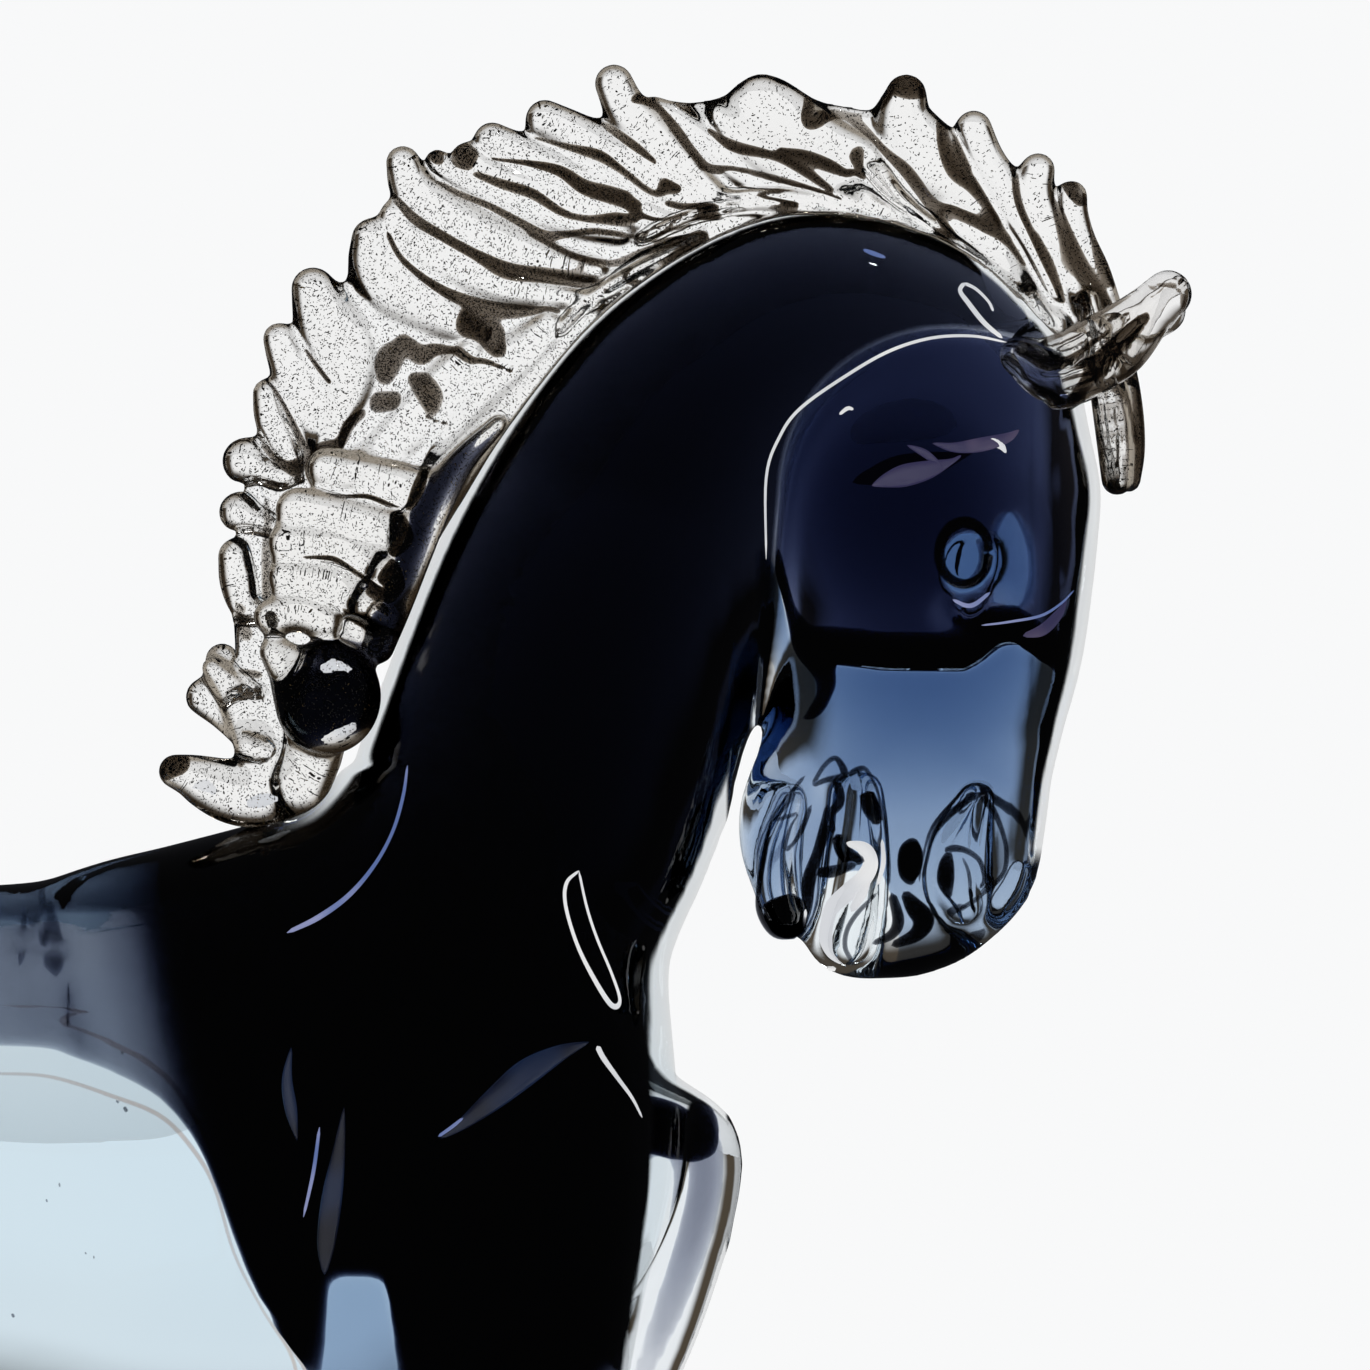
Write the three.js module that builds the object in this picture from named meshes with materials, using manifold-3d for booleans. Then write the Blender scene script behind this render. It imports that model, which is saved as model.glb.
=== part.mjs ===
// A prancing horse of solid hot-worked glass on a low oval glass base.
// The body is one gather of glass. The mane, the tail and the two ears are bits of clear glass laid on it.
// The figure is drawn on a grid: +X towards the nose, +Z up, hooves at height 0.
import * as THREE from 'three';
import { mergeVertices } from 'three/addons/utils/BufferGeometryUtils.js';
import Module from 'manifold-3d';

// Driving dimensions, in millimetres. The base runs past the hooves by its margin on every side.
const FIGURE_HEIGHT = 360;
const BASE_THICKNESS = 14;
const BASE_MARGIN = 23;
const BASE_EDGE_RADIUS = 4;
const JOINT_GAP = 0.3;

// The grid is this many units high, from the soles to the highest lock.
const GRID_HEIGHT = 449;
const unit = FIGURE_HEIGHT / GRID_HEIGHT;

// Colours of the two glasses.
const COBALT = new THREE.MeshStandardMaterial({ color: 0x10182c, roughness: 0.05, metalness: 0 });
const CRYSTAL = new THREE.MeshStandardMaterial({ color: 0xdcdcd8, roughness: 0.05, metalness: 0 });

const wasm = await Module();
wasm.setup();

// A closed geometry becomes a solid, turned the right way out.
function solid(geometry) {
  const bare = geometry.index ? geometry.clone() : geometry;
  bare.deleteAttribute('normal');
  bare.deleteAttribute('uv');
  const merged = mergeVertices(bare, 1e-4);
  const made = new wasm.Manifold(new wasm.Mesh({
    numProp: 3,
    vertProperties: new Float32Array(merged.attributes.position.array),
    triVerts: new Uint32Array(merged.index.array),
  }));
  return made;
}

function fuse(solids) {
  return solids.reduce((whole, next) => whole.add(next));
}

// A join can close a small void and a cut can leave a crumb; the piece is the largest skin.
// Its corners are set to a fine grain first, so that slivers thinner than that fall together.
const GRAIN = 0.01;
const SLIVER = 0.15;

function largest(cut) {
  const { vertProperties, triVerts } = cut.simplify(SLIVER).getMesh();
  const corners = vertProperties.map((value) => Math.round(value / GRAIN) * GRAIN);
  const grained = new THREE.BufferGeometry();
  grained.setAttribute('position', new THREE.BufferAttribute(corners, 3));
  grained.setIndex(new THREE.BufferAttribute(triVerts, 1));
  const lumps = solid(grained).simplify(SLIVER).decompose();
  return lumps.reduce((best, lump) => (lump.volume() > best.volume() ? lump : best));
}

function mesh(name, cut, material) {
  const { vertProperties, triVerts } = cut.getMesh();
  const geometry = new THREE.BufferGeometry();
  geometry.setAttribute('position', new THREE.BufferAttribute(vertProperties, 3));
  geometry.setIndex(new THREE.BufferAttribute(triVerts, 1));
  geometry.computeVertexNormals();
  const made = new THREE.Mesh(geometry, material);
  made.name = name;
  return made;
}

// A pulled or blown form: ovals strung along a spine, with rounded ends.
// A station is [x, y, z, half depth in the side view, half width], in grid units.
const ROUND_END = [Math.PI / 3, Math.PI / 6];
const SMALL_END = [Math.PI / 4];

function along(stations, steps) {
  const centre = new THREE.CatmullRomCurve3(
    stations.map(([x, y, z]) => new THREE.Vector3(x, y, z)), false, 'centripetal');
  const size = new THREE.CatmullRomCurve3(
    stations.map(([, , , deep, wide]) => new THREE.Vector3(deep, wide, 0)), false, 'catmullrom');
  const count = (stations.length - 1) * steps;
  return Array.from({ length: count + 1 }, (_, i) => {
    const at = i / count;
    const oval = size.getPoint(at);
    return { centre: centre.getPoint(at), ahead: centre.getTangent(at), deep: oval.x, wide: oval.y };
  });
}

function sweep(stations, { sides = 12, steps = 1, grow = 0, ends = ROUND_END } = {}) {
  const rings = along(stations, steps).map((ring) => ({
    ...ring,
    centre: ring.centre.multiplyScalar(unit),
    deep: ring.deep * unit + grow,
    wide: ring.wide * unit + grow,
  }));
  const cap = (end, sign) => ends.map((turn) => ({
    ...end,
    centre: end.centre.clone().addScaledVector(end.ahead, sign * end.deep * Math.cos(turn)),
    deep: end.deep * Math.sin(turn),
    wide: end.wide * Math.sin(turn),
  }));
  const first = rings[0];
  const last = rings[rings.length - 1];
  const whole = [...cap(first, -1).reverse(), ...rings, ...cap(last, 1)];
  const startPole = first.centre.clone().addScaledVector(first.ahead, -first.deep);
  const endPole = last.centre.clone().addScaledVector(last.ahead, last.deep);
  const sideways = new THREE.Vector3(0, 1, 0);
  const points = [];
  for (const { centre, ahead, deep, wide } of whole) {
    const up = new THREE.Vector3().crossVectors(ahead, sideways).normalize();
    const out = new THREE.Vector3().crossVectors(ahead, up).normalize();
    for (let k = 0; k < sides; k += 1) {
      const turn = (2 * Math.PI * k) / sides;
      points.push(centre.clone()
        .addScaledVector(up, deep * Math.cos(turn))
        .addScaledVector(out, wide * Math.sin(turn)));
    }
  }
  const start = points.push(startPole) - 1;
  const end = points.push(endPole) - 1;
  const faces = [];
  const lastRing = (whole.length - 1) * sides;
  for (let k = 0; k < sides; k += 1) {
    const next = (k + 1) % sides;
    for (let r = 0; r < lastRing; r += sides) {
      faces.push(r + k, r + next, r + sides + k, r + next, r + sides + next, r + sides + k);
    }
    faces.push(start, next, k, end, lastRing + k, lastRing + next);
  }
  const geometry = new THREE.BufferGeometry().setFromPoints(points);
  geometry.setIndex(faces);
  return solid(geometry);
}

// The gather: trunk, arched neck and tucked head.
const TRUNK = [
  [-82, 0, 238, 48, 36], [-50, 0, 235, 57, 41], [-18, 0, 230, 56, 40], [18, 0, 227.5, 60, 41],
  [42, 0, 227.5, 66.5, 42], [60, 0, 228.5, 67, 41], [78, 0, 229.5, 53, 37],
];
const NECK = [
  [85, 0, 250, 44, 36], [98, 0, 280, 36, 32], [108, 0, 305, 37, 28], [120, 0, 341, 35, 25],
  [134, 0, 365, 34.5, 22.5], [146, 0, 381, 32, 20.5], [163, 0, 392, 29.5, 18.5], [181, 0, 392, 25, 17],
  [196, 0, 386, 19, 15],
];
const HEAD = [
  [187, 0, 363, 33.2, 18], [186, 0, 351, 33, 19.5], [185, 0, 337, 32, 18], [183.8, 0, 325, 30, 15.5],
  [183, 0, 313, 28, 13.5], [182.4, 0, 301, 26.6, 12.8], [182, 0, 293, 24, 12.8], [180, 0, 287, 19.5, 11],
];
const NOSE = [[198, 0, 312, 8, 9], [196.5, 0, 300, 9.5, 11.5], [194, 0, 291, 12.4, 12]];
const UPPER_LIP = [[180, 0, 288, 15, 10.5], [170.5, 0, 278, 10, 9.5]];
const CHIN = [[166, 0, 318, 10, 8], [158.5, 0, 299, 10.6, 8.5], [160, 0, 285, 9, 8]];

// The limbs, each from the mass it grows out of to just above the hoof.
const NEAR_SIDE = -1;
const FAR_SIDE = 1;
const standingForeleg = (side) => [
  [94, 16 * side, 246, 30, 20], [101, 19 * side, 208, 26, 18.5], [104, 20 * side, 180, 20.5, 15.5],
  [105, 20 * side, 150, 14.5, 12.5], [106, 19.5 * side, 118, 10.5, 10], [107, 19 * side, 98, 10.6, 10],
  [105, 19 * side, 78, 7.8, 7.6], [104, 19 * side, 50, 7.2, 7.2], [105, 19 * side, 28, 8.8, 8.6],
  [110, 19 * side, 16, 8, 8],
];
const raisedForeleg = (side) => [
  [92, 16 * side, 226, 28, 18], [112, 19 * side, 230, 16, 13.5], [128, 21 * side, 236, 9.6, 10],
  [138.5, 21 * side, 233, 9.4, 9.6], [138, 21 * side, 220, 9.2, 9.4], [133, 21 * side, 200, 8.2, 8],
  [125, 21 * side, 178, 7.2, 7.2], [119, 21 * side, 160, 8.4, 8], [111, 21 * side, 151, 7.4, 7.2],
];
const hindLeg = (side, stride) => [
  [-80, 17 * side, 230, 38, 20], [-84 + 0.45 * stride, 20 * side, 190, 27, 17],
  [-92 + 0.85 * stride, 20 * side, 155, 15.5, 12], [-108 + stride, 20 * side, 118, 10.4, 9.5],
  [-107 + stride, 20 * side, 88, 7.8, 7.6], [-104 + stride, 20 * side, 50, 7.4, 7.4],
  [-103 + stride, 20 * side, 29, 9, 8.6], [-97 + stride, 20 * side, 16, 8, 8],
];
const NEAR_STRIDE = 0;
const FAR_STRIDE = 26;

// A hoof is a short cone of glass under the last station of its leg. [x, y, z, tilt back in turns]
const HOOF = { height: 13, top: 8.6, sole: 12, forward: 3 };

function hoof([x, y, z], drop, tilt, grow) {
  const cone = new THREE.CylinderGeometry(
    HOOF.top * unit + grow, HOOF.sole * unit + grow, HOOF.height * unit, 12);
  cone.rotateX(Math.PI / 2);
  cone.translate(HOOF.forward * unit, 0, drop * unit);
  cone.rotateY(tilt);
  cone.translate(x * unit, y * unit, z * unit);
  return solid(cone);
}

const STANDING_TILT = 0;
const RAISED_TILT = 1.15;
const RAISED_DROP = -8;

function leg(stations, standing, grow) {
  const ankle = stations[stations.length - 1];
  const [x, y, z] = ankle;
  const cone = standing
    ? hoof([x, y, HOOF.height / 2], 0, STANDING_TILT, grow)
    : hoof([x, y, z], RAISED_DROP, RAISED_TILT, grow);
  return fuse([sweep(stations, { grow }), cone]);
}

// The cheeks are one oval swelling through the head. Eyes, nostrils and the mouth's nick are on each side.
// Each has its middle, its half sizes along, across and up, and its lean in the side view, in radians.
const CHEEK = { at: [180, 0, 362], size: [27, 21, 30], lean: 0.2 };
const EYE = { at: [192.5, 18, 350], size: [4.4, 3.6, 5.2], lean: 0.25 };
const NOSTRIL = { at: [195, 11.5, 290], size: [4.6, 3.4, 6.5], lean: 0.5 };
const MOUTH = { at: [163.6, 10.5, 285], size: [1.5, 5, 19], lean: -0.12 };

const onSide = ({ at: [x, y, z] }, side) => [x, y * side, z];

// An oval bead: its middle, its half sizes and its lean.
function bead([x, y, z], [long, across, high], lean, grow = 0) {
  const ball = new THREE.SphereGeometry(1, 10, 6);
  ball.scale(long * unit + grow, across * unit + grow, high * unit + grow);
  ball.rotateY(lean);
  ball.translate(x * unit, y * unit, z * unit);
  return solid(ball);
}

function body(grow) {
  const pieces = [
    sweep(TRUNK, { sides: 24, steps: 2, grow }),
    sweep(NECK, { sides: 20, steps: 2, grow }),
    sweep(HEAD, { sides: 20, steps: 2, grow }),
    sweep(NOSE, { sides: 14, grow }),
    sweep(UPPER_LIP, { sides: 14, grow }),
    sweep(CHIN, { sides: 14, grow }),
    leg(standingForeleg(NEAR_SIDE), true, grow),
    leg(raisedForeleg(FAR_SIDE), false, grow),
    leg(hindLeg(NEAR_SIDE, NEAR_STRIDE), true, grow),
    leg(hindLeg(FAR_SIDE, FAR_STRIDE), true, grow),
  ];
  pieces.push(bead(CHEEK.at, CHEEK.size, CHEEK.lean, grow));
  for (const side of [NEAR_SIDE, FAR_SIDE]) {
    pieces.push(bead(onSide(EYE, side), EYE.size, EYE.lean, grow));
    pieces.push(bead(onSide(NOSTRIL, side), NOSTRIL.size, NOSTRIL.lean, grow));
  }
  const lips = [NEAR_SIDE, FAR_SIDE].map((side) => bead(onSide(MOUTH, side), MOUTH.size, MOUTH.lean, -grow));
  return largest(lips.reduce((whole, groove) => whole.subtract(groove), fuse(pieces)));
}

// The mane: a strip of clear glass laid along the crest, a web drawn up from it, and locks pulled from both.
// A lock is [tip, middle, root], each [x, y, z], and the radius of its tip.
const WEB = [
  [58, -4, 316, 9, 6], [62, -5, 334, 13, 5.5], [68, -4, 352, 16.5, 5], [76, -3, 374, 17.5, 4.6],
  [88, -2, 393, 18, 4.4], [102, -1, 410, 18.5, 4.4], [121, 0, 422, 16, 4.2], [141, 0, 429.5, 13, 4.2],
  [161, 0, 432, 12, 4.2], [179, 0, 424, 13, 4.2], [195, 0, 415.5, 14, 4.2], [208, 0, 407, 12, 4.2],
];
const CREST_STRIP = [
  [62, -3, 306, 7, 9], [70, -3, 322, 7, 9], [79, -3, 340, 7, 9], [90, -2, 360, 7, 9], [102, 0, 379, 7, 8],
  [116, 0, 396, 7, 8], [133, 0, 411, 6.5, 7], [152, 0, 420.5, 6, 7], [168, 0, 422, 6, 7],
  [184, 0, 417, 6, 7], [198, 0, 408, 6, 7], [210, 0, 398, 5, 6.5],
];
const LOCKS = [
  { tip: [35.6, -4, 308], middle: [48, -7, 303], root: [66, -8, 309], radius: 4.4 },
  { tip: [41, 0, 323], middle: [50, -2, 323], root: [64, -3, 324], radius: 3.4 },
  { tip: [44, -3, 331], middle: [52, -3, 333], root: [68, -3, 335], radius: 2.8 },
  { tip: [47.4, 1, 347], middle: [53, 0, 343], root: [70, -3, 345], radius: 3.8 },
  { tip: [47.6, 3, 360.6], middle: [55, 1, 358], root: [74, -1, 355], radius: 3.2 },
  { tip: [48.6, -1, 371], middle: [57, -1, 368], root: [78, -2, 362], radius: 3.6 },
  { tip: [54, -3, 384], middle: [61, -3, 374], root: [86, -3, 368], radius: 2.8 },
  { tip: [56.5, 1, 395], middle: [63, 0, 385], root: [92, -2, 375], radius: 2.9 },
  { tip: [63, -2, 406], middle: [71, -3, 396], root: [102, -3, 387], radius: 4 },
  { tip: [74.5, 2, 415], middle: [83, 0, 404], root: [112, -2, 396], radius: 3.6 },
  { tip: [79, -3, 424], middle: [90, -4, 414], root: [120, -4, 404], radius: 3.2 },
  { tip: [80.5, 2, 430], middle: [97, 1, 421], root: [128, -1, 410], radius: 3.6 },
  { tip: [89, -2, 430.5], middle: [106, -3, 425], root: [136, -3, 415], radius: 2.8 },
  { tip: [98.5, 2, 435.5], middle: [115, 1, 430], root: [141, 0, 419], radius: 3.2 },
  { tip: [109.5, -2, 439.5], middle: [122, -2, 434], root: [144, -2, 421], radius: 3.6 },
  { tip: [123.5, 1, 445.5], middle: [130, 1, 436], root: [146, 0, 422], radius: 3.6 },
  { tip: [136, -2, 437], middle: [143, -1, 431], root: [154, 0, 422], radius: 3 },
  { tip: [149, 1, 443.5], middle: [155, 0, 435], root: [166, 0, 423], radius: 4.2 },
  { tip: [157, -2, 443], middle: [163, -2, 434], root: [172, -2, 421], radius: 4.2 },
  { tip: [168, 2, 440], middle: [178, 1, 426], root: [194, -1, 409], radius: 2.6 },
  { tip: [181, -1, 442.5], middle: [187, -2, 428], root: [200, -3, 406], radius: 4.4 },
  { tip: [194.5, 1, 436.5], middle: [199, 0, 422], root: [207, -1, 403], radius: 3.6 },
  { tip: [208, -1, 428], middle: [212, -1, 415], root: [213, 0, 401], radius: 3.4 },
  { tip: [214, 2, 422.5], middle: [218, 1, 411], root: [216, 0, 399], radius: 2.8 },
];
// Rolls of the mane that lie over to the near side, low on the neck, and the locks between the ears.
const ROLLS = [
  [[64, -6, 376, 4.5, 5], [78, -12, 373, 4.6, 5], [88, -13, 366, 4.2, 4.5]],
  [[58, -6, 364, 5, 5], [71, -13, 362, 5.2, 5.5], [84, -15, 354, 4.8, 5]],
  [[56, -6, 354, 4.8, 5], [68, -13, 352, 5, 5.5], [81, -16, 344.5, 4.6, 5]],
  [[56, -6, 344, 4.8, 5], [66, -13, 342, 5, 5.5], [78, -16, 336, 4.6, 5]],
  [[54, -6, 334, 5, 5], [64, -13, 333, 5, 5.5], [75, -16, 328, 4.8, 5]],
  [[53, -6, 322, 5.2, 5], [62, -13, 320, 5.6, 6], [72, -15, 317, 5.4, 5.5]],
  [[217, -2, 409, 3, 4], [223.5, -3, 396, 3, 4.5], [226, -3, 382, 3, 4.5], [225, -2, 369, 2.6, 3.5]],
  [[215, 2, 404, 3, 4], [221, 2, 392, 3, 4.5], [223.5, 2, 378, 2.8, 4], [223, 1, 366, 2.4, 3]],
];

function lock({ tip, middle, root, radius }, grow) {
  const swell = 1.5;
  return sweep([
    [...root, radius * swell, radius * swell], [...middle, radius * 1.15, radius * 1.25],
    [...tip, radius, radius],
  ], { sides: 6, grow, ends: SMALL_END });
}

function mane(grow) {
  return fuse([
    sweep(CREST_STRIP, { sides: 8, grow, ends: SMALL_END }),
    sweep(WEB, { sides: 10, grow, ends: SMALL_END }),
    ...LOCKS.map((one) => lock(one, grow)),
    ...ROLLS.map((roll) => sweep(roll, { sides: 7, grow, ends: SMALL_END })),
  ]);
}

// The ears: two pulled bits of clear glass that point forward over the brow.
const ear = (side) => [
  [203, 9 * side, 391, 5, 4], [211, 11 * side, 388, 9, 5.5], [221, 12 * side, 393, 8.4, 5],
  [228, 12 * side, 399, 5.6, 4.6], [233, 11.5 * side, 402.5 + side * -1.2, 4.8, 4.8],
];

// The tail: clear locks that leave the dock together and fall apart below the hock.
const TAIL_LOCKS = [
  [[-122, 0, 268, 9, 8], [-140, 0, 272, 10, 9], [-156, 0, 256, 11, 10], [-163, 0, 225, 11, 11],
    [-163, 0, 190, 10.5, 10], [-157, 0, 150, 8.5, 8], [-152, 0, 118, 6, 6], [-158, 0, 92, 4.2, 4.2]],
  [[-140, -4, 262, 7, 6], [-153, -7, 235, 7.5, 6], [-156, -8, 195, 7.5, 6], [-148, -9, 150, 6, 5.5],
    [-141, -8, 120, 4.6, 4.6], [-145, -7, 102, 3.6, 3.6]],
  [[-146, 5, 268, 6, 6], [-166, 8, 242, 7, 6], [-173, 9, 205, 7, 6], [-171, 9, 165, 6.5, 5.5],
    [-166, 8, 134, 5, 4.8], [-174, 8, 112, 3.8, 3.8]],
];

function tail(grow) {
  return fuse(TAIL_LOCKS.map((stations) => sweep(stations, { sides: 8, grow })));
}

// The base: a poured oval slab with a rounded rim, under the middle of the stance.
const FRONT_HOOF = standingForeleg(NEAR_SIDE).at(-1)[0] + HOOF.forward;
const REAR_HOOF = hindLeg(NEAR_SIDE, NEAR_STRIDE).at(-1)[0] + HOOF.forward;
const SIDE_HOOF = hindLeg(FAR_SIDE, FAR_STRIDE).at(-1)[1];
const baseCentre = (FRONT_HOOF + REAR_HOOF) / 2 * unit;
const baseHalfLength = ((FRONT_HOOF - REAR_HOOF) / 2 + HOOF.sole) * unit + BASE_MARGIN;
const baseHalfWidth = (SIDE_HOOF + HOOF.sole) * unit + BASE_MARGIN;
const RIM_STEPS = 2;
const RIM_SIDES = 40;

function base() {
  const edge = Math.min(BASE_EDGE_RADIUS, BASE_THICKNESS / 2 - SLIVER);
  const quarter = (start, height) => Array.from({ length: RIM_STEPS + 1 }, (_, i) => {
    const turn = start + (i * Math.PI) / 2 / RIM_STEPS;
    return new THREE.Vector2(baseHalfLength - edge + edge * Math.cos(turn), height + edge * Math.sin(turn));
  });
  const profile = [
    new THREE.Vector2(0, 0),
    ...quarter(-Math.PI / 2, edge),
    ...quarter(0, BASE_THICKNESS - edge),
    new THREE.Vector2(0, BASE_THICKNESS),
  ];
  const slab = new THREE.LatheGeometry(profile, RIM_SIDES);
  slab.rotateX(Math.PI / 2);
  slab.scale(1, baseHalfWidth / baseHalfLength, 1);
  return solid(slab);
}

const horseCutter = body(JOINT_GAP);
const maneSolid = largest(mane(0).subtract(horseCutter));
const maneCutter = mane(JOINT_GAP);
const earSolid = (side) => largest(sweep(ear(side), { sides: 10 })
  .subtract(horseCutter).subtract(maneCutter));
const tailSolid = largest(tail(0).subtract(horseCutter));

const figure = new THREE.Group();
figure.add(
  mesh('horse', body(0), COBALT),
  mesh('mane', maneSolid, CRYSTAL),
  mesh('right_ear', earSolid(NEAR_SIDE), CRYSTAL),
  mesh('left_ear', earSolid(FAR_SIDE), CRYSTAL),
  mesh('tail', tailSolid, CRYSTAL),
);
figure.position.z = BASE_THICKNESS + JOINT_GAP;

const slab = mesh('base', base(), CRYSTAL);
slab.position.x = baseCentre;

// The origin is under the middle of the whole object, where the base stands on its surface.
const group = new THREE.Group();
group.add(figure, slab);
const extent = new THREE.Box3().setFromObject(group);
group.position.x = -(extent.min.x + extent.max.x) / 2;
export default group;
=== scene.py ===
import math
import bpy
import numpy as np
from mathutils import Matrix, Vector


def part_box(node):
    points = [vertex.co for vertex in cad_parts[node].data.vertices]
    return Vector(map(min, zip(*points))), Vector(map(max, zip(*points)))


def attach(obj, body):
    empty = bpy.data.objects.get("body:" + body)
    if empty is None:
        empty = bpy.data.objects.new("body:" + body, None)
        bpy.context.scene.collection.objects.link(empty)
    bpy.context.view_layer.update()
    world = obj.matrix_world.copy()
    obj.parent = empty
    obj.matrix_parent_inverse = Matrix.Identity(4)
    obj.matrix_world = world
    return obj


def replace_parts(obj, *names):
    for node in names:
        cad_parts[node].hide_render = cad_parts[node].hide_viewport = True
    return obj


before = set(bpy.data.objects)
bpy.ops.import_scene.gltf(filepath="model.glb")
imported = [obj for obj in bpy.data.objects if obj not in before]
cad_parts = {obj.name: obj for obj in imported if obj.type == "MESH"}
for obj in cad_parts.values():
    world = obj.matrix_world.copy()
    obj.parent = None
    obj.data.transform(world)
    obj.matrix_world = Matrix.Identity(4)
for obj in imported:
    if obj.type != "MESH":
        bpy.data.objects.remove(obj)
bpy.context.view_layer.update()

# The figure is drawn on its own grid: +X towards the nose, +Z up, soles at height 0.
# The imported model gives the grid's unit and its place.
FIGURE_GRID = 449
STANCE_MIDDLE = 9.5
sole_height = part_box("horse")[0].z
unit = (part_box("mane")[1].z - sole_height) / FIGURE_GRID
base_low, base_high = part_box("base")
grid_zero = (base_low.x + base_high.x) / 2 - STANCE_MIDDLE * unit


def placed(points):
    """Grid points, as rows of x, y, z, in metres in the part's frame."""
    return np.asarray(points, float) * unit + (grid_zero, 0.0, sole_height)


# The studio: a long lens looks level at the horse's right side, as far off as a photographer stands.
# A pale floor lies under the base, and a white surround lights the glass from behind.
LENS_DISTANCE = 1.5
SENSOR = 36.0
FRAME_GRID = 274
FRAME_CENTRE = (137, 0, 326)
FLOOR_RADIUS = 1.7

look_at = placed([FRAME_CENTRE])[0]
lens = bpy.data.cameras.new("camera")
lens.sensor_width = SENSOR
lens.lens = SENSOR * LENS_DISTANCE / (FRAME_GRID * unit)
lens.clip_start = 0.05
camera = bpy.data.objects.new("camera", lens)
camera.location = (look_at[0], look_at[1] - LENS_DISTANCE, look_at[2])
camera.rotation_euler = (math.radians(90), 0, 0)
bpy.context.scene.collection.objects.link(camera)
bpy.context.scene.camera = camera


class Node:
    """A shader socket that takes part in Python expressions, which become Math nodes."""

    def __init__(self, tree, socket):
        self.tree = tree
        self.socket = socket

    def make(self, kind, settings=None, **sockets):
        """A new node of that kind, with its settings made first and its sockets filled or linked."""
        node = self.tree.nodes.new(kind)
        for name, value in (settings or {}).items():
            if name == "stops":
                node.color_ramp.elements[0].position, node.color_ramp.elements[0].color = value[0]
                node.color_ramp.elements[1].position, node.color_ramp.elements[1].color = value[-1]
                for position, color in value[1:-1]:
                    node.color_ramp.elements.new(position).color = color
            else:
                setattr(node, name, value)
        for name, value in sockets.items():
            index = int(name[1:]) if name[0] == "i" and name[1:].isdigit() else name.replace("_", " ")
            if isinstance(value, Node):
                self.tree.links.new(value.socket, node.inputs[index])
            else:
                node.inputs[index].default_value = value
        return node

    def output(self, kind, settings=None, out=0, **sockets):
        return Node(self.tree, self.make(kind, settings, **sockets).outputs[out])

    def maths(self, operation, *values):
        return self.output("ShaderNodeMath", {"operation": operation},
                           **{f"i{k}": value for k, value in enumerate(values)})

    def __add__(self, other):
        return self.maths("ADD", self, other)

    def __radd__(self, other):
        return self.maths("ADD", other, self)

    def __sub__(self, other):
        return self.maths("SUBTRACT", self, other)

    def __rsub__(self, other):
        return self.maths("SUBTRACT", other, self)

    def __mul__(self, other):
        return self.maths("MULTIPLY", self, other)

    def __rmul__(self, other):
        return self.maths("MULTIPLY", other, self)

    def __truediv__(self, other):
        return self.maths("DIVIDE", self, other)

    def smooth(self, low, high):
        """0 below low, 1 above high, and a smooth step between them."""
        return self.output("ShaderNodeMapRange", {"interpolation_type": "SMOOTHSTEP"},
                           Value=self, From_Min=low, From_Max=high)


SURROUND_WHITE = (0.94, 0.945, 0.95)
SURROUND_GREY = (0.5, 0.5, 0.5)
SURROUND_GAP = (0.085, 0.066, 0.046)
SURROUND_TOP = (0.075, 0.06, 0.045)
REFLECTED = (0.02, 0.021, 0.024)
GREY_FROM, GREY_TO = (0.36, 0.5), (1.1, 1.3)
GAP_FROM, GAP_TO = (0.44, 0.56), (0.76, 0.86)
OVERHEAD = (0.25, 0.6)

# Through the glass, the surround is grey off the camera's axis, with a dark gap there and a dark top.
# The camera itself and the floor find it plain white, and what the glass mirrors is nearly black.
world = bpy.data.worlds.new("surround")
bpy.context.scene.world = world
world.use_nodes = True
world.node_tree.nodes.clear()
way = Node(world.node_tree, None).output("ShaderNodeTexCoord")
split = way.make("ShaderNodeSeparateXYZ", Vector=way)
along_x, along_y, along_z = (Node(world.node_tree, split.outputs[k]) for k in range(3))
side_x, side_y = along_x.maths("ABSOLUTE", along_x), along_y.maths("ABSOLUTE", along_y)
off_axis = side_x.maths("ARCTAN2", side_x, side_y)
paler = off_axis.smooth(*GREY_FROM) * (1.0 - off_axis.smooth(*GREY_TO))
gap = off_axis.smooth(*GAP_FROM) * (1.0 - off_axis.smooth(*GAP_TO))
high = along_z.smooth(*OVERHEAD)
panel = way.output("ShaderNodeMix", {"data_type": "RGBA"}, out=2,
                   i0=paler, i6=(*SURROUND_WHITE, 1), i7=(*SURROUND_GREY, 1))
sides = way.output("ShaderNodeMix", {"data_type": "RGBA"}, out=2,
                   i0=gap, i6=panel, i7=(*SURROUND_GAP, 1))
whole = way.output("ShaderNodeMix", {"data_type": "RGBA"}, out=2,
                   i0=high, i6=sides, i7=(*SURROUND_TOP, 1))
ray = way.make("ShaderNodeLightPath")
looked_at, scattered_on, mirrored = (
    Node(world.node_tree, ray.outputs[f"Is {kind} Ray"]) for kind in ("Camera", "Diffuse", "Reflection"))
plain = looked_at + scattered_on
through = way.output("ShaderNodeMix", {"data_type": "RGBA"}, out=2,
                     i0=mirrored, i6=whole, i7=(*REFLECTED, 1))
seen = way.output("ShaderNodeMix", {"data_type": "RGBA"}, out=2,
                  i0=plain, i6=through, i7=(*SURROUND_WHITE, 1))
glow = way.output("ShaderNodeBackground", Color=seen, Strength=1.0)
way.make("ShaderNodeOutputWorld", Surface=glow)

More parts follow.
